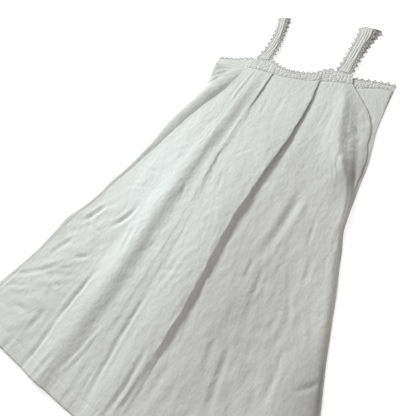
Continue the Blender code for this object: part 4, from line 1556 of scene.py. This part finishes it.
@dataclass(frozen=True)
class EdgingStitch:
    """How one tooth of the edging is crocheted: a ring of stitches round its eyelet, with a
    picot loop at its tip, on a chain along the seam."""

    around: int = 30
    section: int = 8
    half_thick: float = 0.75 * MM
    eyelet: float = 1.25 * MM
    ring_top: float = 8.2 * MM
    stitches: int = 11
    stitch_depth: float = 0.24
    picot_radius: float = 1.3 * MM
    picot_thick: float = 0.8 * MM
    picot_at: float = 9.0 * MM
    picot_around: int = 12
    picot_section: int = 6
    picot_tall: float = 1.2
    side_gap: float = 0.2 * MM
    heel_gap: float = 0.3 * MM
    tip_power: float = 1.2
    heel_power: float = 3.0
    least_half: float = 0.5 * MM
    stitch_bulge: float = 0.04
    chain_pitch: float = 2.4 * MM
    chain_step: float = 0.6 * MM
    chain_out: float = 1.25 * MM
    chain_half: float = 1.2 * MM
    chain_thick: float = 0.85 * MM
    chain_swell: float = 0.18

    def ring(self, pitch: float) -> Array:
        """One tooth's ring as a closed tube: for every angle round the eyelet, an oval from the
        eyelet's edge to the tooth's outline, thicker at each stitch.

        Args:
            pitch: Width of the tooth at its heel.

        Returns:
            Points as places round the eyelet, places round the tube, and along out up.
        """
        angle = np.linspace(0, 2 * np.pi, self.around, endpoint=False)
        way = np.stack([np.sin(angle), np.cos(angle)], -1)
        wide = pitch / 2 - self.side_gap
        up = self.ring_top - EYELET_HEIGHT
        down = EYELET_HEIGHT - self.heel_gap
        tall = np.where(way[:, 1] > 0, up, down)
        power = np.where(way[:, 1] > 0, self.tip_power, self.heel_power)
        reach = (np.abs(way[:, 0]) / wide) ** power + (np.abs(way[:, 1]) / tall) ** power
        reach = reach ** (-1 / power)
        middle = (reach + self.eyelet) / 2
        half = np.maximum((reach - self.eyelet) / 2, self.least_half)
        turn = np.linspace(0, 2 * np.pi, self.section, endpoint=False)
        rib = 1 + self.stitch_depth * np.cos(angle * self.stitches)[:, None]
        bulge = 1 + self.stitch_bulge * (rib - 1)
        radius = middle[:, None] + half[:, None] * np.cos(turn) * bulge
        thick = self.half_thick * np.sin(turn) * rib
        along = pitch / 2 + radius * way[:, :1]
        out = EYELET_HEIGHT + radius * way[:, 1:]
        return np.stack([along, out, thick + 0 * along], -1)

    def picot(self, pitch: float) -> Array:
        """The small loop at a tooth's tip, as a closed tube round a circle."""
        angle = np.linspace(0, 2 * np.pi, self.picot_around, endpoint=False)[:, None]
        turn = np.linspace(0, 2 * np.pi, self.picot_section, endpoint=False)
        radius = self.picot_radius + self.picot_thick * np.cos(turn)
        along = pitch / 2 + radius * np.sin(angle)
        out = self.picot_at + radius * np.cos(angle)
        thick = self.picot_thick * self.picot_tall * np.sin(turn)
        return np.stack([along, out, thick + 0 * along], -1)


@dataclass
class CrochetEdging:
    """A run of teeth on a seam, laid on the surface that its place function gives."""

    name: str
    node: str
    runs: tuple[tuple[float, float], ...]
    pitch: float
    place: Place
    stitch: EdgingStitch = EdgingStitch()

    def teeth(self) -> tuple[Array, Array]:
        """Starts and widths of all teeth, each run divided evenly."""
        starts, widths = [], []
        for start, end in self.runs:
            count = max(1, round((end - start) / self.pitch))
            width = (end - start) / count
            starts.append(start + np.arange(count) * width)
            widths.append(np.full(count, width))
        return np.concatenate(starts), np.concatenate(widths)

    def rings(self) -> tuple[Array, Array]:
        """Points and faces of every tooth's ring and picot, still flat."""
        starts, widths = self.teeth()
        points, faces, count = [], [], 0
        for shape in (self.stitch.ring, self.stitch.picot):
            for start, width in zip(starts, widths):
                cell = shape(width) + (start, 0, 0)
                rows, columns = cell.shape[:2]
                index = np.arange(rows * columns).reshape(rows, columns)
                after = np.roll(index, -1, 0)
                right = np.roll(index, -1, 1)
                both = np.roll(after, -1, 1)
                cells = np.stack([index, right, both, after], -1).reshape(-1, 4)
                points.append(cell.reshape(-1, 3))
                faces.append(cells + count)
                count += rows * columns
        return np.concatenate(points), np.concatenate(faces)

    def chain(self) -> tuple[Array, Array]:
        """Points and faces of the chain along the seam: a flat oval that swells at each stitch."""
        stitch = self.stitch
        start, end = self.runs[0][0], self.runs[-1][1]
        along = np.linspace(start, end, int((end - start) / stitch.chain_step))
        swell = np.cos(2 * np.pi * along / stitch.chain_pitch)
        swell = (1 + stitch.chain_swell * (swell - 1))[:, None]
        turn = np.linspace(0, 2 * np.pi, stitch.section, endpoint=False)
        out = stitch.chain_out + stitch.chain_half * np.cos(turn) * swell
        thick = stitch.chain_thick * np.sin(turn) * swell
        rings = np.stack([along[:, None] + 0 * out, out, thick], -1)
        return capped_tubes(rings[None])

    def build(self, finishes: Finishes) -> bpy.types.Object:
        """Builds the edging and lays it on its seam.

        Args:
            finishes: The materials.

        Returns:
            The piece.
        """
        teeth, teeth_faces = self.rings()
        chain, chain_faces = self.chain()
        flat = np.concatenate([teeth, chain])
        faces = np.concatenate([teeth_faces, chain_faces + len(teeth)])
        points, normals = self.place(flat[:, 0], flat[:, 1])
        points = points + normals * flat[:, 2:]
        points[:, 2] = np.maximum(points[:, 2], FLOOR_CLEARANCE)
        piece = put_mesh(self.name, points, faces, flat[:, :2])
        outwards(piece)
        finishes.dress(piece, EDGING_CROCHET, Slot.EDGING)
        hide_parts(self.node)
        return piece


def outwards(piece: bpy.types.Object) -> None:
    """Turns every closed part of a piece so that its faces point out."""
    mesh = piece.data
    mesh.calc_loop_triangles()
    corners = np.empty(len(mesh.loop_triangles) * 3, np.int32)
    mesh.loop_triangles.foreach_get("vertices", corners)
    points = np.empty(len(mesh.vertices) * 3, np.float32)
    mesh.vertices.foreach_get("co", points)
    points = points.reshape(-1, 3).astype(float)
    points -= points.mean(axis=0)
    if np.linalg.det(points[corners.reshape(-1, 3)]).sum() < 0:
        mesh.flip_normals()


def along_edge(edge: Array, start: float, end: float, height: Height) -> tuple[float, Place]:
    """A place function for an edging on the upper edge of a band.

    Args:
        edge: The band's upper row.
        start: Place across where the edging starts, in millimetres.
        end: Place across where it ends.
        height: Height of the edging at a place across and a distance out.

    Returns:
        The edging's length, and its place function.
    """
    x = np.unique(np.concatenate([[start * MM, end * MM], edge[:, 0]]))
    x = x[(x >= start * MM) & (x <= end * MM)]
    line = np.stack([x, np.interp(x, edge[:, 0], edge[:, 1])], -1)
    travelled = np.append(0, np.cumsum(np.linalg.norm(np.diff(line, axis=0), axis=1)))
    directions = bisectors(line, 0)

    def place(along: Array, out: Array) -> tuple[Array, Array]:
        """The point at a distance along the edge and out from it, and straight up as normal."""
        at = np.stack([np.interp(along, travelled, line[:, k]) for k in (0, 1)], -1)
        way = unit(np.stack([np.interp(along, travelled, directions[:, k]) for k in (0, 1)], -1))
        plan = at + np.stack([-way[:, 1], way[:, 0]], -1) * (out + EDGING_GAP)[:, None]
        points = np.concatenate([plan, height(at[:, 0], out)[:, None]], 1)
        normals = np.zeros_like(points)
        normals[:, 2] = 1
        return points, normals

    return float(travelled[-1]), place


# Straps


@dataclass(frozen=True)
class StrapRing:
    """Both sides of a strap with its edgings at one place along it, in millimetres."""

    left: tuple[float, float]
    right: tuple[float, float]
    z: float
    droop: tuple[float, float] = (0, 0)

    def row(self) -> tuple[float, ...]:
        """The ring as one row of numbers."""
        return (*self.left, *self.right, self.z, *self.droop)


@dataclass
class Strap:
    """A ribbed strap that runs up from the front, folds at the shoulder and lies back down under
    itself, with an edging along each side."""

    side: str
    front: tuple[StrapRing, ...]
    back: tuple[StrapRing, ...]
    edging: float = 10 * MM
    crown: float = 0.8 * MM
    fold_steps: int = 6
    fold_margin: float = 2 * MM
    crown_full: float = 7 * MM
    probe: float = 0.5 * MM
    probe_share: float = 0.01
    rib_pitch: float = 6.4 * MM
    rib_height: float = 1.2 * MM
    rib_power: float = 0.7
    rib_wander: float = 0.9 * MM
    wander_cell: tuple[float, float] = (60 * MM, 9 * MM)
    crease_height: float = 0.6 * MM
    crease_cell: tuple[float, float] = (28 * MM, 4 * MM)
    seeds: tuple[int, int] = (61, 62)
    least_rib: float = -0.3 * MM
    fold_flat: tuple[float, float] = (3 * MM, 9 * MM)
    fold_share: float = 0.4
    base_flat: tuple[float, float] = (2 * MM, 22 * MM)
    base_share: float = 0.35
    seam_taper: float = 5 * MM
    seam_share: float = 0.3
    row_step: float = 2.4 * MM
    columns: int = 30
    fold_rows: int = 24
    fold_reach: float = 4 * MM

    def path(self) -> Array:
        """The strap's rings up the front, round the fold as a half turn, and down the back."""
        front = np.array([ring.row() for ring in self.front], float)
        back = np.array([ring.row() for ring in self.back], float)
        radius = (front[-1, 4] - back[0, 4]) / 2
        turn = np.linspace(0, np.pi, self.fold_steps + 1)[:, None]
        share = turn / np.pi
        fold = front[-1] * (1 - share) + back[0] * share
        fold[:, [1, 3]] += radius * np.sin(turn)
        fold[:, 4] = back[0, 4] + radius * (1 + np.cos(turn[:, 0]))
        return np.concatenate([front[:-1], fold, back[1:]]) * MM

    def surface(self) -> tuple[Array, Callable, Callable]:
        """The strap's surface.

        Returns:
            Distances of its rings, its width at a distance, and the point and normal at a
            distance along and a share of the way across.
        """
        rings = self.path()
        middle = (rings[:, :2] + rings[:, 2:4]) / 2
        centres = np.concatenate([middle, rings[:, 4:5]], 1)
        travelled = np.append(0, np.cumsum(np.linalg.norm(np.diff(centres, axis=0), axis=1)))

        def spot(along: Array, share: Array) -> Array:
            """The point at a distance along and a share of the way across, crowned a little."""
            ring = smooth(travelled, rings, np.clip(along, 0, travelled[-1]))
            share = share[:, None]
            left = np.concatenate([ring[:, :2], ring[:, 4:5]], 1)
            right = np.concatenate([ring[:, 2:4], ring[:, 4:5]], 1)
            point = left * (1 - share) + right * share
            side = np.abs(2 * share[:, 0] - 1)
            droop = np.where(share[:, 0] < 0.5, ring[:, 5], ring[:, 6]) * side**3
            raised = np.clip(ring[:, 4] / self.crown_full, 0, 1) ** 3
            lift = self.crown * (1 - side**2) * raised
            point[:, 2] = np.maximum(point[:, 2] + lift - droop, BAND_HALF + FLOOR_CLEARANCE)
            return point

        def place(along: Array, share: Array) -> tuple[Array, Array]:
            """The point there, and its normal from two short steps along and across."""
            ahead = spot(along + self.probe, share) - spot(along - self.probe, share)
            over = spot(along, share + self.probe_share) - spot(along, share - self.probe_share)
            return spot(along, share), unit(np.cross(over, ahead))

        def width(along: Array) -> Array:
            """The strap's width with its edgings, at a distance along."""
            ring = smooth(travelled, rings, along)
            return np.hypot(ring[:, 2] - ring[:, 0], ring[:, 3] - ring[:, 1])

        return travelled, width, place

    def ribs(self, along: Array, off: Array) -> Array:
        """Height of the lengthwise ribs: rounded folds side by side that wander a little."""
        cell, fine = self.wander_cell, self.crease_cell
        wander = self.rib_wander * gradient_noise(along / cell[0], off / cell[1], self.seeds[0])
        wave = np.abs(np.sin(np.pi * (off + wander) / self.rib_pitch))
        crease = gradient_noise(along / fine[0], off / fine[1], self.seeds[1])
        return self.rib_height * wave**self.rib_power + self.crease_height * crease

    def build(self, finishes: Finishes) -> None:
        """Builds the strap and its two edgings, and works out the size of its cut."""
        travelled, width, place = self.surface()
        first = len(self.front) - 1
        fold = (travelled[first], travelled[first + self.fold_steps])
        near = np.linspace(fold[0] - self.fold_reach, fold[1] + self.fold_reach, self.fold_rows)
        stops = np.arange(0, travelled[-1], self.row_step)
        stops = stops[(stops < near[0]) | (stops > near[-1])]
        stops = np.sort(np.concatenate([stops, near, travelled[-1:]]))
        shares = (self.edging + EDGING_GAP) / width(stops)
        across = np.linspace(1, 0, self.columns)
        share = shares[:, None] + (1 - 2 * shares)[:, None] * across
        along = np.broadcast_to(stops[:, None], share.shape)
        points = place(along.ravel(), share.ravel())[0].reshape(*share.shape, 3)
        off = share * width(stops)[:, None]
        flat = step(np.abs(along - sum(fold) / 2), *self.fold_flat)
        flat = self.fold_share + (1 - self.fold_share) * flat
        under = step(along, fold[1] + self.fold_reach, fold[1] + 2 * self.fold_reach)
        base = self.base_share + (1 - self.base_share) * step(along, *self.base_flat)
        ribs = self.ribs(along, off) * flat * (1 - under) * base
        taper = self.seam_share + (1 - self.seam_share) * step(along, 0, self.seam_taper)
        above = (BAND_HALF + np.maximum(ribs, self.least_rib)) * taper
        name = f"{self.side}_strap_cloth"
        piece = cloth_shell(name, points[::-1, ::-1], above[::-1, ::-1], BAND_HALF)
        outwards(piece)
        finishes.dress(piece, STRAP_LINEN, Slot.LINEN)
        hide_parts(f"{self.side}_strap")
        fold = (fold[0] - self.fold_margin, fold[1] + self.fold_margin)
        for at_left in (True, False):
            label = "inner" if at_left == (self.side == "right") else "outer"

            def lace(along: Array, out: Array, at_left: bool = at_left) -> tuple[Array, Array]:
                """The point and normal of this side's edging, at a distance out from its seam."""
                reach = (self.edging - out) / width(along)
                return place(along, reach if at_left else 1 - reach)

            runs = ((0.0, fold[0]), fold, (fold[1], travelled[-1]))
            node = f"{self.side}_strap_{label}_edging"
            edging = CrochetEdging(node + "_crochet", node, runs, STRAP_PITCH, lace)
            edging.build(finishes)
        size = cut_size(points)


STRAPS = (
    Strap(
        "left",
        front=(
            StrapRing((-128, 4.4), (-80, 5.4), 5.6, (0.6, 0.6)),
            StrapRing((-120, 45), (-77.5, 44), 7.0, (0.6, 1.6)),
            StrapRing((-121, 95), (-86, 93), 8.0, (0.8, 2.6)),
            StrapRing((-130, 140), (-94.5, 137), 8.4, (0.8, 3.0)),
            StrapRing((-138, 168.5), (-102, 172.5), 7.0, (0.4, 1.2)),
        ),
        back=(
            StrapRing((-136, 168.5), (-100, 172.5), 0.7),
            StrapRing((-129, 130), (-93, 130), 0.7),
            StrapRing((-124, 70), (-86, 70), 0.7),
            StrapRing((-130, -3.6), (-86, -3.6), 0.7),
        ),
    ),
    Strap(
        "right",
        front=(
            StrapRing((88, 8.2), (134, 5), 5.6, (0.4, 0.8)),
            StrapRing((91, 45), (134, 44), 7.0, (0.4, 3.0)),
            StrapRing((92, 95), (134, 94), 8.0, (0.4, 3.6)),
            StrapRing((92, 140), (138.5, 138), 8.4, (0.4, 3.4)),
            StrapRing((92, 169.5), (140, 164.5), 6.6, (0.4, 1.2)),
        ),
        back=(
            StrapRing((107, 169.5), (152, 162.5), 0.7),
            StrapRing((102, 140), (146, 142), 0.7),
            StrapRing((93, 70), (135, 70), 0.7),
            StrapRing((88, -3.6), (132, -3.6), 0.7),
        ),
    ),
)


# Sewing


@dataclass
class Stitches:
    """A run of small stitches, each a short tube that dips into the cloth at both ends."""

    name: str
    pitch: float
    length: float
    thick: float
    rings: int = 5
    corners: int = 6
    rise: float = 1.1
    dip: float = 5.2
    roundness: float = 1.05

    def build(self, path: Array, crossing: bool, finishes: Finishes) -> bpy.types.Object:
        """Lays stitches along a path on the cloth.

        Args:
            path: Points of the path, on the cloth's face.
            crossing: Whether each stitch crosses the path instead of following it.
            finishes: The materials.

        Returns:
            The piece.
        """
        travelled = arc_lengths(path, 0)
        starts = np.arange(self.pitch / 2, travelled[-1] - self.pitch / 2, self.pitch)
        share = np.linspace(-0.5, 0.5, self.rings)
        centre = np.stack([np.interp(starts, travelled, path[:, k]) for k in range(3)], -1)
        ahead = [np.interp(starts + MM, travelled, path[:, k]) for k in range(3)]
        behind = [np.interp(starts - MM, travelled, path[:, k]) for k in range(3)]
        way = unit(np.stack(ahead, -1) - np.stack(behind, -1))
        up = np.array([0.0, 0.0, 1.0])
        side = unit(np.cross(up, way))
        run = side if crossing else way
        wide = way if crossing else side
        spots = centre[:, None] + run[:, None] * (share * self.length)[None, :, None]
        height = self.thick * (self.rise - self.dip * share**2)
        spots = spots + up * height[None, :, None]
        swell = np.sqrt(self.roundness - (2 * share) ** 2)[None, :, None, None]
        outline = oval(self.corners, self.thick, self.thick)[None, None]
        outline = outline * swell
        points = spots[:, :, None] + outline[..., :1] * wide[:, None, None]
        points = points + outline[..., 1:] * up
        vertices, faces = capped_tubes(points)
        piece = put_mesh(self.name, vertices, faces, vertices[:, :2])
        outwards(piece)
        return finishes.dress(piece, THREAD, Slot.LINEN)


STITCH_THICK = 0.24 * MM


def sew_hem(front: PleatedFront, finishes: Finishes) -> bpy.types.Object:
    """The stitches that hold the front's turned hem."""
    row = int(np.argmin(np.abs(front.stations() - (STATION_Y[-1] + HEM_DEPTH / MM))))
    line = front.points[row] + (0, 0, LINEN_HALF)
    run = Stitches("hem_stitches", pitch=3.6 * MM, length=2.6 * MM, thick=STITCH_THICK)
    return run.build(line, False, finishes)


def sew_band(name: str, band: CrochetBand, finishes: Finishes) -> bpy.types.Object:
    """The stitches that join a band to the cloth below it."""
    line = band.grid[-1] + (0, -SEAM_GAP / 2, BAND_HALF)
    name = f"{name}_seam_stitches"
    run = Stitches(name, pitch=2.6 * MM, length=2.4 * MM, thick=STITCH_THICK)
    return run.build(line, True, finishes)


# Studio


@dataclass(frozen=True)
class Studio:
    """The floor, the light and the camera at the photo's viewing angle."""

    camera_place: tuple[float, float, float] = (0.39658, -0.38165, 0.72426)
    camera_turn: tuple[float, float, float] = (32.154, 15.109, 30.771)
    lens: float = 35.48
    sensor: float = 36.0
    floor_side: float = 8.0
    sky: float = 0.52
    sky_colour: Colour = (1.0, 0.975, 0.945)
    key_colour: Colour = (0.94, 0.985, 1.01)
    key_place: tuple[float, float, float] = (-2.9, 1.3, 1.85)
    key_aim: tuple[float, float, float] = (-0.02, -0.1, 0.0)
    key_side: float = 1.0
    key_power: float = 150.0

    def build(self, finishes: Finishes) -> None:
        """Makes the floor, the soft light from the upper left, the even sky and the camera."""
        scene = bpy.context.scene
        half = self.floor_side / 2
        corners = [(-half, -half, 0), (half, -half, 0), (half, half, 0), (-half, half, 0)]
        mesh = bpy.data.meshes.new("floor")
        mesh.from_pydata(corners, [], [(0, 1, 2, 3)])
        floor = bpy.data.objects.new("floor", mesh)
        scene.collection.objects.link(floor)
        finishes.dress(floor, FLOOR, None)
        world = bpy.data.worlds.new("studio")
        world.use_nodes = True
        background = world.node_tree.nodes["Background"]
        background.inputs["Color"].default_value = (*self.sky_colour, 1)
        background.inputs["Strength"].default_value = self.sky
        scene.world = world
        light = bpy.data.lights.new("key", "AREA")
        light.size = self.key_side
        light.energy = self.key_power
        light.color = self.key_colour
        key = bpy.data.objects.new("key", light)
        key.location = self.key_place
        aim = np.array(self.key_place) - np.array(self.key_aim)
        bearing = np.arctan2(aim[1], aim[0]) + np.pi / 2
        tilt = np.arctan2(np.hypot(aim[0], aim[1]), aim[2])
        key.rotation_euler = Euler((tilt, 0, bearing))
        scene.collection.objects.link(key)
        lens = bpy.data.cameras.new("camera")
        lens.lens = self.lens
        lens.sensor_width = self.sensor
        lens.clip_start = 0.02
        camera = bpy.data.objects.new("camera", lens)
        camera.location = self.camera_place
        camera.rotation_euler = Euler(np.radians(self.camera_turn))
        scene.collection.objects.link(camera)
        scene.camera = camera
        scene.view_settings.view_transform = "Standard"


def make_bands(front: PleatedFront) -> dict[str, CrochetBand]:
    """The yoke band, the two underarm bands and the back band, set on the front's seams.

    Args:
        front: The front, already shaped.

    Returns:
        Each band by name, not built yet.
    """
    places, _, yoke_z = top_line(front.hangs_from("yoke"))

    def seam_of(part: str) -> Callable[[Array], Array]:
        """The y of a band's lower edge at x, just above a part of the front."""
        across, y, _ = top_line(front.hangs_from(part))
        return lambda x: np.interp(x, across, y) + SEAM_GAP

    def yoke_height(x: Array, rows: Array) -> Array:
        """From the pleats' height at the seam to an even height at the neck."""
        return np.interp(x, places, yoke_z) * rows + YOKE_TOP_Z * (1 - rows)

    def floor_height(x: Array, rows: Array) -> Array:
        """The back band's even height."""
        return BACK_HEIGHT + 0 * x * rows

    return {
        "yoke": CrochetBand(
            "front_yoke_crochet", "front_band", (-134, 146), (-131, 134), NECK_EDGE,
            seam_of("yoke"), yoke_height, "back_yoke_crochet",
        ),
        "left": CrochetBand(
            "left_underarm_crochet", "left_underarm_band", (-231, -121), (-231, -119),
            LEFT_UNDERARM, seam_of("left"), side_height, "back_yoke_crochet",
            WORN_CROCHET, rib_height=0.35 * MM,
        ),
        "right": CrochetBand(
            "right_underarm_crochet", "right_underarm_band", (132, 236), (127, 236),
            RIGHT_UNDERARM, seam_of("right"), side_height, "back_yoke_crochet",
        ),
        "back": CrochetBand(
            "back_yoke_crochet", "back_band", (-230, 236), (-230, 236), BACK_EDGE,
            lambda x: curve(BACK_SEAM, x), floor_height, "floor", rib_height=0.0,
        ),
    }  # fmt: skip


def side_height(x: Array, rows: Array) -> Array:
    """Height of an underarm band: just over the back, a little more where it is tucked under."""
    tuck = np.clip((TUCK_START - np.abs(x)) / TUCK_REACH, 0, 1)
    return SIDE_SEAM_Z + SIDE_LIFT + TUCK_LIFT * tuck + 0 * rows


def build_bands(front: PleatedFront, finishes: Finishes) -> None:
    """Builds every band with its edgings and the stitches along its seam.

    Args:
        front: The front, already shaped.
        finishes: The materials.
    """

    def neck_height(x: Array, out: Array) -> Array:
        """The neck edging's height, lower further out."""
        return YOKE_TOP_Z - NECK_DROOP * out + 0 * x

    def side_lace_height(x: Array, out: Array) -> Array:
        """An underarm edging's height, a little lower further out."""
        return side_height(x, out * 0) - SIDE_DROOP * out

    def back_lace_height(x: Array, out: Array) -> Array:
        """The back edgings' even height."""
        return BACK_LACE_HEIGHT + 0 * x * out

    edgings = {
        "yoke": (("front_neck_edging", -81, 86, neck_height),),
        "left": (("left_underarm_edging", -231, -134, side_lace_height),),
        "right": (("right_underarm_edging", 138, 236, side_lace_height),),
        "back": (
            ("back_neck_edging", -82, 82, back_lace_height),
            ("left_back_underarm_edging", -230, -136, back_lace_height),
            ("right_back_underarm_edging", 136, 236, back_lace_height),
        ),
    }
    for name, band in make_bands(front).items():
        band.build(finishes)
        sewn_on = []
        for node, start, end, height in edgings[name]:
            length, place = along_edge(band.grid[0], start, end, height)
            run = ((0.0, length),)
            edging = CrochetEdging(node + "_crochet", node, run, NECK_PITCH, place)
            sewn_on.append(edging.build(finishes))
        if name != "back":
            sewn_on.append(sew_band(name, band, finishes))
        band.declare(sewn_on)


def main() -> None:
    """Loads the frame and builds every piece."""
    logging.basicConfig(level=logging.INFO, format="%(message)s")
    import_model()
    finishes = Finishes()
    Studio().build(finishes)
    FlatBack().build(finishes)
    front = PleatedFront()
    front.build(finishes)
    build_bands(front, finishes)
    for strap in STRAPS:
        strap.build(finishes)


if __name__ == "__main__":
    main()
